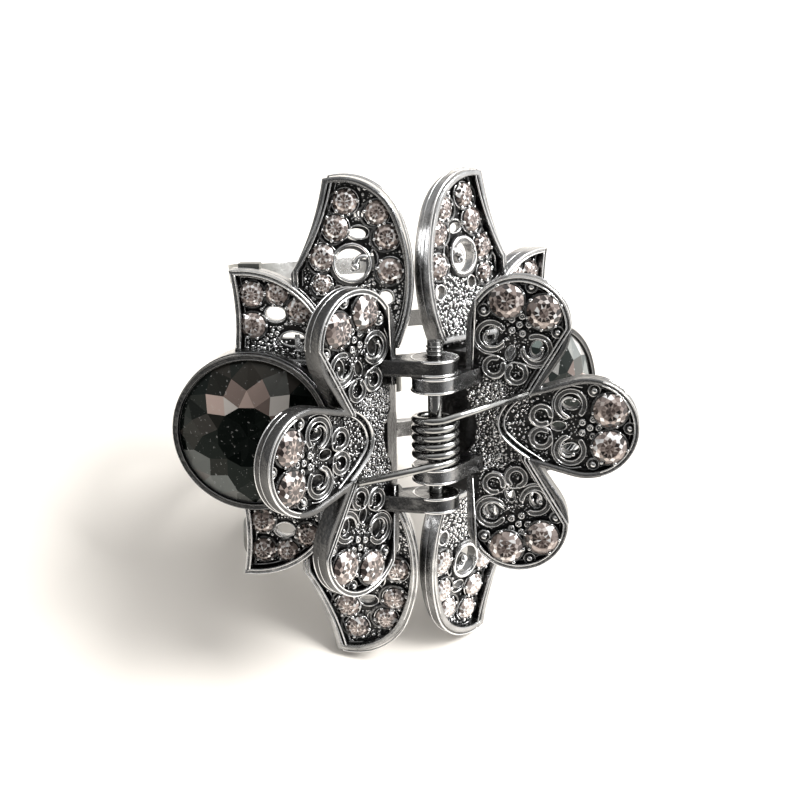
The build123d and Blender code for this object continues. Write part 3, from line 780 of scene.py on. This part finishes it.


# Lit and shaded copies of one tooth plating: the left-hand teeth lighter as painted light, the
# right-hand ones darker as painted shade
teeth_metal = {
    "teeth_left": plated_metal(
        "teeth_metal_left", grey(0.8), (0.26, 0.26, 0.245), roughness=0.26, grain=0.1,
        shade=darker_roots_and_tip_shade,
    ),
    "teeth_right": plated_metal(
        "teeth_metal_right", grey(0.5), grey(0.25), roughness=0.2, grain=0.1
    ),
}
wire_metal = plated_metal("wire_metal", (0.42, 0.42, 0.41), grey(0.08), roughness=0.1, grain=0.04)
pale_stone = faceted_stone(
    "pale_stone",
    ((0.0, (0.02, 0.015, 0.013)), (0.25, (0.11, 0.082, 0.073)), (0.55, (0.38, 0.31, 0.28)),
     (0.8, (0.74, 0.66, 0.62)), (1.0, (1.0, 1.0, 1.0))),
    roughness=0.06, metallic=0.4, dust_from=0.66,
)
dark_stone = faceted_stone(
    "dark_stone",
    ((0.0, (0.001, 0.002, 0.0015)), (0.2, (0.007, 0.009, 0.008)), (0.35, (0.035, 0.03, 0.026)),
     (0.45, (0.19, 0.205, 0.2)), (0.55, (0.13, 0.1, 0.09)), (0.7, (0.24, 0.185, 0.165)),
     (0.8, (0.5, 0.39, 0.35)), (0.9, (0.5, 0.49, 0.47)), (1.0, (0.85, 0.83, 0.82))),
    roughness=0.04, metallic=0.0, dust_from=0.64, coat=0.03, gloss=0.1, cast=(0.8, 1.0, 0.92),
)

# Dressing of the CAD nodes that stay
for name, material in {**body_metal, **teeth_metal, "pin": wire_metal}.items():
    cad_node = frame["nodes"][name]
    cad_node.data.materials.clear()
    cad_node.data.materials.append(material)


def metal(build, name, side, material):
    return build.piece(f"{name}_{side}", f"{side}_half", material, "antique_silver")


# Inner points of the table and of the star facets, in shares of their rings
HEART_SHARE = 0.5
STAR_POINT = 0.55


def facets(build, plate, centre, lift, cut, shade):
    """A round-cut stone, closed below; the painted shade of a facet comes from its kind and
    direction
    """
    sides, top = cut.sides, cut.girdle + cut.crown
    star_share = cut.table + STAR_POINT * (STAR_SHARE - cut.table)
    points = [plate.at(*centre, top + lift)]
    for share, height, count, turn in (
        (HEART_SHARE * cut.table, top, sides, 0.0),
        (cut.table, top, sides, 0.5),
        (star_share, cut.girdle + 0.5 * (1 + STAR_RISE) * cut.crown, sides, 0.0),
        (STAR_SHARE, cut.girdle + STAR_RISE * cut.crown, sides, 0.5),
        (1.0, cut.girdle, 2 * sides, 0.0),
        (1.0, 0.0, 2 * sides, 0.0),
    ):
        for k in range(count):
            angle = 2 * pi * (k + turn) / count
            points.append(plate.at(*around(centre, share * cut.radius, angle), lift + height))
    points.append(plate.at(*centre, lift - cut.depth))
    inner, table, star, bezel, upper = (1 + k * sides for k in range(5))
    lower, culet = 1 + 6 * sides, 1 + 8 * sides
    faces, tints = [], []

    def face(kind, step, *corners):
        faces.append(corners)
        tints.append(shade(kind, (step % sides) / sides * 360))

    for k in range(sides):
        n = (k + 1) % sides
        face("heart", k + 0.5, 0, inner + k, inner + n)
        face("table", k + 0.5, inner + k, table + k, inner + n)
        face("point", k, inner + k, table + (k - 1) % sides, table + k)
        face("star", k, table + (k - 1) % sides, star + k, table + k)
        face("kite", k + 0.5, table + k, star + k, bezel + k, star + n)
        face("rim", k, star + k, bezel + (k - 1) % sides, upper + 2 * k, bezel + k)
        face("edge", k + 0.25, bezel + k, upper + 2 * k, upper + 2 * k + 1)
        face("edge", k + 0.75, bezel + k, upper + 2 * k + 1, upper + (2 * k + 2) % (2 * sides))
    for k in range(2 * sides):
        n = (k + 1) % (2 * sides)
        face("girdle", k / 2, upper + k, lower + k, lower + n, upper + n)
        face("under", k / 2, lower + k, culet, lower + n)
    build.add(points, faces, tints)


SPARKLE = random.Random(11)
# Painted reflections in a small stone: wedges of WEDGE_STEP degrees, dark and light in turn
WEDGE_STEP = 15
WEDGES = ((0.08, 0.2, 0.34, 0.46), (0.42, 0.54, 0.64, 0.78))
# Painted shade over the wedge's and chance of a painted flash of light, by kind of facet
FACET_KINDS = {
    "heart": (-0.25, 0.06), "table": (0.04, 0.07), "point": (-0.12, 0.04), "star": (0.08, 0.09),
    "kite": (0.13, 0.14), "rim": (-0.04, 0.08), "edge": (0.0, 0.06), "girdle": (-0.3, 0.0),
    "under": (-0.4, 0.0),
}


def sparkle(painted_light):
    """The painted shades of one small stone, shifted by its painted light: wedges of painted
    reflection from its heart to its edge, and a few painted flashes of light
    """
    wedges = [painted_light + SPARKLE.choice(WEDGES[step % 2]) for step in range(360 // WEDGE_STEP)]

    def shade(kind, direction):
        level, flash = FACET_KINDS[kind]
        if SPARKLE.random() < flash:
            return 1.0
        wedge = wedges[int(direction / WEDGE_STEP) % len(wedges)]
        return min(1.0, max(0.0, wedge + level + SPARKLE.uniform(-0.12, 0.12)))

    return shade


def small_cut(radius, crown):
    """The cut of a petal's or a leaf's stone, spread a little over its seat"""
    return Cut(radius * STONE_SPREAD, crown, STONE_GIRDLE, STONE_DEPTH, STONE_CUTS, TABLE_SHARE)


def stone_piece(name, side, stones, material=pale_stone, slot="pale_stone"):
    """One piece of cut stones that stands for a node; stones are arguments of facets"""
    build = Build()
    for stone in stones:
        facets(build, *stone)
    piece = build.piece(name + "_facets", f"{side}_half", material, slot, False)
    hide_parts(name)


# Painted light and shade on the stones by place: added to every facet's shade, darker on the left
# handle, lighter on the lower right leaves
STONE_PAINTED_LIGHT = {
    "handle_left": -0.17, "handle_right": -0.02, "upper_left": 0.1, "lower_left": 0.04,
    "upper_right": -0.03, "lower_right": 0.36,
}
for side, sign in SIDES:
    plate = handle_plate(sign)
    painted_light = STONE_PAINTED_LIGHT["handle_" + side]
    cut = small_cut(PETAL_STONE_RADIUS, PETAL_STONE_CROWN)
    for petal in PETALS:
        for place_name, place in PETAL_STONES.items():
            stone_piece(
                f"{petal}_petal_{place_name}_stone_{side}", side,
                [(plate, on_petal(petal, *place), PETAL_COLLAR_TOP, cut, sparkle(painted_light))],
            )
for side, sign in SIDES:
    for level, flip in LEVELS:
        painted_light = STONE_PAINTED_LIGHT[f"{level}_{side}"]
        for leaf_name, leaf in LEAVES.items():
            plate = leaf.plate(sign, flip)
            stone_piece(
                f"{level}_{leaf_name}_leaf_stones_{side}", side,
                [(plate, on_leaf(leaf, *place), LEAF_COLLAR_TOP,
                  small_cut(share * LEAF_STONE_RADIUS, LEAF_STONE_CROWN), sparkle(painted_light))
                 for *place, share in leaf.stones],
            )

# Painted glints and reflections of the large stones: facet kind, from and to in degrees from
# outward, painted shade
GLINTS = {
    "left": {
        "kite": (
            (30, 60, 0.8), (0, 30, 0.34), (61, 90, 0.6), (91, 120, 0.75), (121, 150, 0.93),
            (151, 180, 0.62), (300, 330, 0.33),
        ),
        "star": ((15, 45, 0.3), (46, 75, 0.84), (76, 105, 0.72), (106, 135, 0.55), (136, 165, 0.6)),
        "rim": ((46, 75, 0.3), (76, 105, 0.36), (106, 135, 0.33), (296, 345, 0.46), (0, 45, 0.26)),
        "edge": (
            (61, 120, 0.28), (121, 135, 0.3), (290, 352, 0.46), (250, 289, 0.45), (0, 60, 0.2),
        ),
        "heart": ((240, 300, 0.12),),
    },
    "right": {
        "kite": ((0, 40, 0.9), (41, 70, 0.36), (90, 140, 0.55)),
        "star": ((20, 70, 0.6),),
        "rim": ((0, 100, 0.45),),
        "edge": ((320, 360, 0.45), (30, 80, 0.9)),
        "table": ((0, 90, 0.3),),
    },
}


def glint(side):
    wander = random.Random(5 if side == "left" else 6)

    def shade(kind, direction):
        for start, end, value in GLINTS[side].get(kind, ()):
            if start <= direction <= end:
                return value + wander.uniform(-0.07, 0.05)
        return wander.uniform(0.0, 0.15)

    return shade


for side, sign in SIDES:
    stone_piece(
        f"crystal_{side}", side,
        [(jaw_plate(sign), (CUP_OUT, 0.0), CRYSTAL_LIFT, CRYSTAL, glint(side))],
        dark_stone, "dark_crystal",
    )


def ring_path(plate, centre, radius, lift, start=0.0, sweep=360.0, steps=24):
    """A circle or an arc over a plate's face"""
    count = steps if sweep >= 360 else steps + 1
    return [
        plate.at(*around(centre, radius, radians(start + sweep * i / steps)), lift)
        for i in range(count)
    ]


def slot_path(plate, centre, radius, start, sweep):
    """Once round the outline of an arc with round ends, on top of the relief"""
    steps = max(8, int(sweep / SLOT_STEP))
    shares = [i / steps for i in range(steps + 1)]
    caps = [pi * i / CAP_STEPS for i in range(1, CAP_STEPS)]
    begin, end = radians(start), radians(start + sweep)
    first, last = around(centre, radius, begin), around(centre, radius, end)
    wide, narrow = radius + SLOT_HALF_WIDTH, radius - SLOT_HALF_WIDTH
    points = [around(centre, wide, begin + (end - begin) * s) for s in shares]
    points += [around(last, SLOT_HALF_WIDTH, end + turn) for turn in caps]
    points += [around(centre, narrow, end + (begin - end) * s) for s in shares]
    points += [around(first, SLOT_HALF_WIDTH, begin + pi + turn) for turn in caps]
    return plate.path(points, RELIEF_TOP)


def oval(centre, half_width, half_height, steps):
    """Points round an oval"""
    angles = [2 * pi * i / steps for i in range(steps)]
    return [(centre[0] + half_width * cos(a), centre[1] + half_height * sin(a)) for a in angles]


def scatter(build, plate, spots, floor, granules, region, rng):
    """Cast granules on the free floor of a region; spots are round places to keep off"""
    (u_low, u_high), (v_low, v_high), inside = region
    for wanted, sizes in granules:
        placed = []
        for _ in range(wanted * GRANULE_TRIES):
            if len(placed) >= wanted:
                break
            u, v = rng.uniform(u_low, u_high), rng.uniform(v_low, v_high)
            size = rng.uniform(*sizes)
            if not inside(u, v, size):
                continue
            if any(hypot(u - a, v - b) < r + size for a, b, r in spots):
                continue
            if any(hypot(u - a, v - b) < (r + size) * GRANULE_OVERLAP for a, b, r in placed):
                continue
            placed.append((u, v, size))
            centre = plate.at(u, v, floor + GRANULE_LIFT * size)
            build.ball(centre, size, plate.facing(), 0.9, 4, 6)


def setting(relief, plate, centre, radius, collar, claws, rng, turn=0.0, steps=24):
    """The ring of a stone's collar and the claws that hold the stone"""
    swing, reach, lift, sizes = claws
    ring = ring_path(plate, centre, radius + 0.2, collar - 0.1, steps=steps)
    relief.tube(ring, 0.09, 6, True)
    for k in range(CLAWS):
        angle = radians(turn + rng.uniform(-swing, swing) + 360 / CLAWS * k)
        claw = plate.at(*around(centre, radius + reach, angle), collar + lift)
        relief.ball(claw, rng.uniform(*sizes), plate.facing(), 0.9, 5, 8)


def petal_beads(relief, plate, petal):
    """Three ringed balls near the edge and six beads near the middle; gives the places taken"""
    facing, spots = plate.facing(), []
    radius, ring, room = BALL
    for place in BALLS:
        centre = on_petal(petal, *place)
        spots.append((*centre, room))
        relief.ball(plate.at(*centre, RELIEF_TOP - 0.02), radius, facing, 1.0, 6, 12)
        relief.tube(ring_path(plate, centre, ring, RELIEF_TOP - 0.1, steps=20), 0.12, 6, True)
    radius, ring, room = BEAD
    for place in BEADS:
        centre = on_petal(petal, *place)
        spots.append((*centre, room))
        relief.tube(ring_path(plate, centre, ring, RELIEF_TOP + 0.02, steps=14), 0.12, 6, True)
        relief.ball(plate.at(*centre, RELIEF_TOP), radius, facing, 0.9, 4, 6)
    return spots


def petal_scrolls(relief, plate, petal):
    """Outlined commas and rings, curls in the commas and winding lines; gives the places taken"""
    facing, spots, turn = plate.facing(), [], petal_turn(petal)
    for *place, radius, start, sweep in COMMAS + RINGS:
        centre, reach = on_petal(petal, *place), radius * PETAL_RADIUS
        loop = slot_path(plate, centre, reach, turn + start, sweep)
        relief.tube(loop, 0.085, 6, True)
        for i in range(8):
            angle = radians(turn + start + sweep * i / 7)
            spots.append((*around(centre, reach, angle), SLOT_ROOM))
    for *place, radius, start, sweep in COMMAS:
        centre, reach = on_petal(petal, *place), radius * PETAL_RADIUS
        hand = 1 if place[1] < 0 else -1
        begin = start if hand > 0 else start + sweep
        curl, widths = [], []
        for i in range(CURL_STEPS + 1):
            share = i / CURL_STEPS
            angle = radians(turn + begin - hand * (CURL_LEAD - CURL_SWEEP * share))
            curl.append(around(centre, reach * (CURL_REACH - REACH_LOST * share), angle))
            widths.append(CURL_THICK - THICK_LOST * i / CURL_STEPS)
        relief.tube(plate.path(curl, RELIEF_TOP - 0.12), widths, 6, flatten=1.6, normal=facing)
        relief.ball(plate.at(*curl[-1], RELIEF_TOP), 0.27, facing, 0.9, 5, 8)
    for hand in (1, -1):
        tail = smooth([on_petal(petal, share, hand * off) for share, off in TAIL])
        relief.tube(plate.path(tail, RELIEF_TOP - 0.04), 0.09, 6)
        spots.extend((*point, 0.14) for point in tail[::3])
    return spots


def petal_gaps(relief, plate, petal):
    """The burr round each pierced gap; gives the places taken"""
    spots = []
    for *place, half_length, half_width in PETAL_GAPS:
        spots.append((*on_petal(petal, *place), half_width * PETAL_RADIUS + 0.25))
        shares = oval(place, half_length + 0.02, half_width + 0.02, 20)
        gap = [on_petal(petal, *share) for share in shares]
        relief.tube(plate.path(gap, HANDLE_FLOOR + 0.06), 0.08, 5, True)
    return spots


def on_petal_floor(petal, u, v, size):
    """Whether a granule lies on a petal's floor, which runs on into the hub"""
    depth = petal_depth(petal, u, v)
    on_hub = u > HUB_INNER + 0.05 and abs(v - HANDLE_RISE) < HUB_HALF_HEIGHT
    return depth > PETAL_MARGIN + size or (on_hub and depth > size)


def petal_relief(side, sign):
    plate = handle_plate(sign)
    facing = plate.facing()
    rng = random.Random(21 + sign)
    rims, relief, grains = Build(), Build(), Build()
    hub_spots = []
    for petal in PETALS:
        for inset, lift, thick, deep in PETAL_LINES:
            line = plate.path(petal_run(petal, inset), lift)
            rims.tube(line, thick, 6, flatten=deep, normal=facing)
        spots = []
        for place in PETAL_STONES.values():
            centre = on_petal(petal, *place)
            spots.append((*centre, PETAL_STONE_RADIUS + 0.4))
            setting(relief, plate, centre, PETAL_STONE_RADIUS, PETAL_COLLAR_TOP, PETAL_CLAWS, rng,
                    petal_turn(petal), 32)
        spots += petal_beads(relief, plate, petal)
        spots += petal_scrolls(relief, plate, petal)
        spots += petal_gaps(relief, plate, petal)
        out, up = PETALS[petal][:2]
        box = (out - 9.5, out + PETAL_RADIUS), (up - 7.5, up + 7.5)
        region = (*box, partial(on_petal_floor, petal))
        scatter(grains, plate, spots, HANDLE_FLOOR, PETAL_GRANULES, region, rng)
        hub_spots += spots
    hub = (
        (HUB_INNER, HUB_OUTER), (-HUB_CORNER, HUB_CORNER),
        lambda u, v, size: hypot(u, v) > SPRING_BAY + size and (
            abs(v - HANDLE_RISE) < HUB_HALF_HEIGHT - size
            or all(petal_depth(petal, u, v) < -size for petal in PETALS)
        ),
    )
    scatter(grains, plate, hub_spots, HANDLE_FLOOR, HUB_GRANULES, hub, rng)
    keel = smooth(KEEL)
    rims.tube(plate.path(keel, HANDLE_FLOOR + 0.45), 0.12, 6, flatten=4.0, normal=facing)
    inner_keel = drawn_in(keel, -0.55)
    rims.tube(plate.path(inner_keel, HANDLE_FLOOR + 0.3), 0.1, 6, flatten=2.6, normal=facing)
    metal(rims, "petal_rims", side, rim_metal)
    metal(relief, "petal_scrolls", side, relief_metal["handle_" + side])
    metal(grains, "petal_granules", side, relief_metal["handle_" + side])


def leaf_gaps(relief, plate, leaf):
    """The burr round each pierced gap; gives the places taken"""
    spots = []
    for *place, half_width, half_height in leaf.gaps:
        centre = on_leaf(leaf, *place)
        half_u, half_v = half_width * leaf.width, half_height * leaf.height
        spots.append((*centre, max(half_u, half_v) + 0.1))
        gap = oval(centre, half_u + 0.1, half_v + 0.1, 24)
        relief.tube(plate.path(gap, LEAF_FLOOR + 0.1), 0.12, 6, True)
    return spots


def tall_eye(relief, plate, leaf):
    """The collar of the round eye and the hook in it; gives the place taken"""
    *place, share = TALL_EYE
    centre, radius = on_leaf(leaf, *place), share * leaf.width
    relief.tube(ring_path(plate, centre, radius + 0.2, LEAF_FLOOR + 0.5, steps=32), 0.2, 7, True)
    *place, share, start, sweep = TALL_HOOK
    reach = share * leaf.width
    hook = ring_path(plate, on_leaf(leaf, *place), reach, LEAF_FLOOR + 0.45, start, sweep, 14)
    relief.tube(hook, 0.34, 8, normal=plate.facing())
    relief.ball(hook[0], 0.5, plate.facing(), 1.0, 6, 10)
    return (*centre, radius + 0.5)


def leaf_relief(side, sign):
    rims, relief, grains, cup = Build(), Build(), Build(), Build()
    rng = random.Random(31 + sign)
    for _, flip in LEVELS:
        for leaf_name, leaf in LEAVES.items():
            plate, edge, spots = leaf.plate(sign, flip), leaf.edge(), []
            for inset, lift, thick, deep in LEAF_LINES:
                line = plate.path(drawn_in(edge, inset), lift)
                rims.tube(line, thick, 6, flatten=deep, normal=plate.facing())
            for *place, share in leaf.stones:
                centre, radius = on_leaf(leaf, *place), share * LEAF_STONE_RADIUS
                spots.append((*centre, radius + 0.3))
                setting(relief, plate, centre, radius, LEAF_COLLAR_TOP, LEAF_CLAWS, rng)
            spots += leaf_gaps(relief, plate, leaf)
            if leaf_name == "tall":
                spots.append(tall_eye(relief, plate, leaf))
                edge = edge + [(TALL_OUTER_EDGE, TALL_FOOT_UP - TILT_START)]
            outline = drawn_in(edge, LEAF_MARGIN)
            outs, ups = zip(*edge)
            region = (
                (min(outs), max(outs)), (min(ups), max(ups)),
                lambda u, v, size, outline=outline: within(outline, u, v),
            )
            scatter(grains, plate, spots, LEAF_FLOOR, LEAF_GRANULES, region, rng)
    plate = jaw_plate(sign)
    bridge = (
        (BRIDGE_INNER, CUP_OUT), (-BRIDGE_HALF_HEIGHT, BRIDGE_HALF_HEIGHT),
        lambda u, v, size: u > BRIDGE_INNER + size and hypot(u - CUP_OUT, v) > CUP_RADIUS + size,
    )
    scatter(grains, plate, [], LEAF_FLOOR, BRIDGE_GRANULES, bridge, rng)
    for inset, drop, thick in CUP_LINES:
        line = ring_path(plate, (CUP_OUT, 0.0), CUP_RADIUS - inset, CUP_RISE - drop, steps=96)
        cup.tube(line, thick, 6, True)
    metal(cup, "cup_lines", side, cup_metal)
    metal(rims, "leaf_rims", side, rim_metal)
    metal(relief, "leaf_settings", side, relief_metal["jaw_" + side])
    metal(grains, "leaf_granules", side, relief_metal["jaw_" + side])


for side, sign in SIDES:
    petal_relief(side, sign)
    leaf_relief(side, sign)


def ring_round_pin(radius, height, steps=32):
    return [world(*around((0, 0), radius, 2 * pi * k / steps), height) for k in range(steps)]


# Hinge: spring, thread and lips
arm_ends = []
for sign, height in SPRING_ARM_ENDS.items():
    plate = handle_plate(sign)
    end = plate.base + SPRING_ARM_REACH * plate.out + SPRING_ARM_LIFT * plate.normal
    arm_ends.append((end.x, end.y, height))
coil = []
for i in range(COIL_TURNS * COIL_STEPS + 1):
    angle = 2 * pi * i / COIL_STEPS
    height = COIL_START + (COIL_END - COIL_START) * i / (COIL_TURNS * COIL_STEPS)
    coil.append((COIL_RADIUS * sin(angle), -COIL_RADIUS * cos(angle), height))
spring = Build()
spring.tube([world(*p) for p in [arm_ends[0]] + coil + [arm_ends[1]]], WIRE_RADIUS, 12)
piece = spring.piece("spring_wire", None, wire_metal, "steel_wire")
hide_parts("spring")
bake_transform(piece)

thread = Build()
for k in range(THREAD_RINGS):
    thread.tube(ring_round_pin(PIN_RADIUS, THREAD_FOOT + THREAD_PITCH * k), 0.13, 6, True)
thread.piece("pin_thread", "left_half", wire_metal, "steel_wire")
for side, bases in LUG_BASES.items():
    lips = Build()
    for base in bases:
        for height in (base + 0.12, base + LUG_HEIGHT - 0.12):
            lips.tube(ring_round_pin(LUG_RADIUS, height), 0.16, 8, True)
    metal(lips, "lug_lips", side, rim_metal)

# Camera, fitted to the photograph in the clip's own frame
CAMERA_TURN = radians(-19.44)
CAMERA_HEIGHT = radians(14.8)
CAMERA_ROLL = radians(-1.16)
CAMERA_DISTANCE = 128.37
FOCAL_PIXELS = 1283.7
FRAME_PIXELS = 800
SENSOR = 36.0
HINGE_PIXEL = (435.58, 435.69)
flat = cos(CAMERA_HEIGHT)
view_back = Vector((sin(CAMERA_TURN) * flat, -cos(CAMERA_TURN) * flat, sin(CAMERA_HEIGHT)))
level = Vector((cos(CAMERA_TURN), sin(CAMERA_TURN), 0))
upright = view_back.cross(level)
view_right = level * cos(CAMERA_ROLL) + upright * sin(CAMERA_ROLL)
view_up = -level * sin(CAMERA_ROLL) + upright * cos(CAMERA_ROLL)
shift_right, shift_up = (
    (pixel - FRAME_PIXELS / 2) / FOCAL_PIXELS * CAMERA_DISTANCE for pixel in HINGE_PIXEL
)
eye = CAMERA_DISTANCE * view_back - shift_right * view_right + shift_up * view_up
camera_data = bpy.data.cameras.new("camera")
camera = linked("camera", camera_data)
camera_data.sensor_width = SENSOR
camera_data.lens = FOCAL_PIXELS / FRAME_PIXELS * SENSOR
camera_data.clip_start = 0.005
columns = [world_direction(*axis) for axis in (view_right, view_up, view_back)]
camera.matrix_world = Matrix.Translation(world(*eye)) @ Matrix(
    [[column[i] for column in columns] for i in range(3)]
).to_4x4()
bpy.context.scene.camera = camera

# Floor and light
FLOOR_SIZE = 3.0
floor_mesh = bpy.data.meshes.new("floor")
half = FLOOR_SIZE / 2
floor_mesh.from_pydata(
    [(-half, -half, 0), (half, -half, 0), (half, half, 0), (-half, half, 0)], [], [(0, 1, 2, 3)]
)
floor = linked("floor", floor_mesh)
floor_material, floor_tree, floor_shader = new_material("floor")
floor_shader.inputs["Base Color"].default_value = (0.95, 0.9, 0.83, 1)
floor_shader.inputs["Roughness"].default_value = 0.6
floor_mesh.materials.append(floor_material)

studio = bpy.data.worlds.new("studio")
bpy.context.scene.world = studio
studio.use_nodes = True
sky_tree = studio.node_tree
sky = node(sky_tree, "ShaderNodeTexCoord").outputs["Generated"]
# Toward, from and to as cosines, and strength: the dim front left, the bright right, the ceiling
SOFT_LIGHTS = (
    ((-0.45, -0.75, 0.48), 0.35, 0.85, -0.42),
    ((1.0, -0.1, 0.1), 0.35, 0.9, 1.0),
    ((0, 0.1, 1.0), 0.6, 0.95, 0.5),
)
strength = 0.57
for toward, low, high, power in SOFT_LIGHTS:
    reach = along(sky_tree, sky, Vector(toward).normalized())
    strength = math(sky_tree, "ADD", stretch(sky_tree, reach, low, high, 0.0, power), strength)
sky_tree.links.new(strength, sky_tree.nodes["Background"].inputs["Strength"])
sky_tree.nodes["Background"].inputs["Color"].default_value = (1, 1, 1, 1)

key_light = bpy.data.lights.new("key", "AREA")
key_light.shape = "DISK"
key_light.size = 0.9
key_light.energy = 35.0
key = linked("key", key_light)
key.location = (0.9, -0.11, 1.25)
toward_clip = Vector((0, 0, 0.02)) - Vector(key.location)
key.rotation_euler = toward_clip.to_track_quat("-Z", "Y").to_euler()

bpy.context.scene.view_settings.view_transform = "Standard"
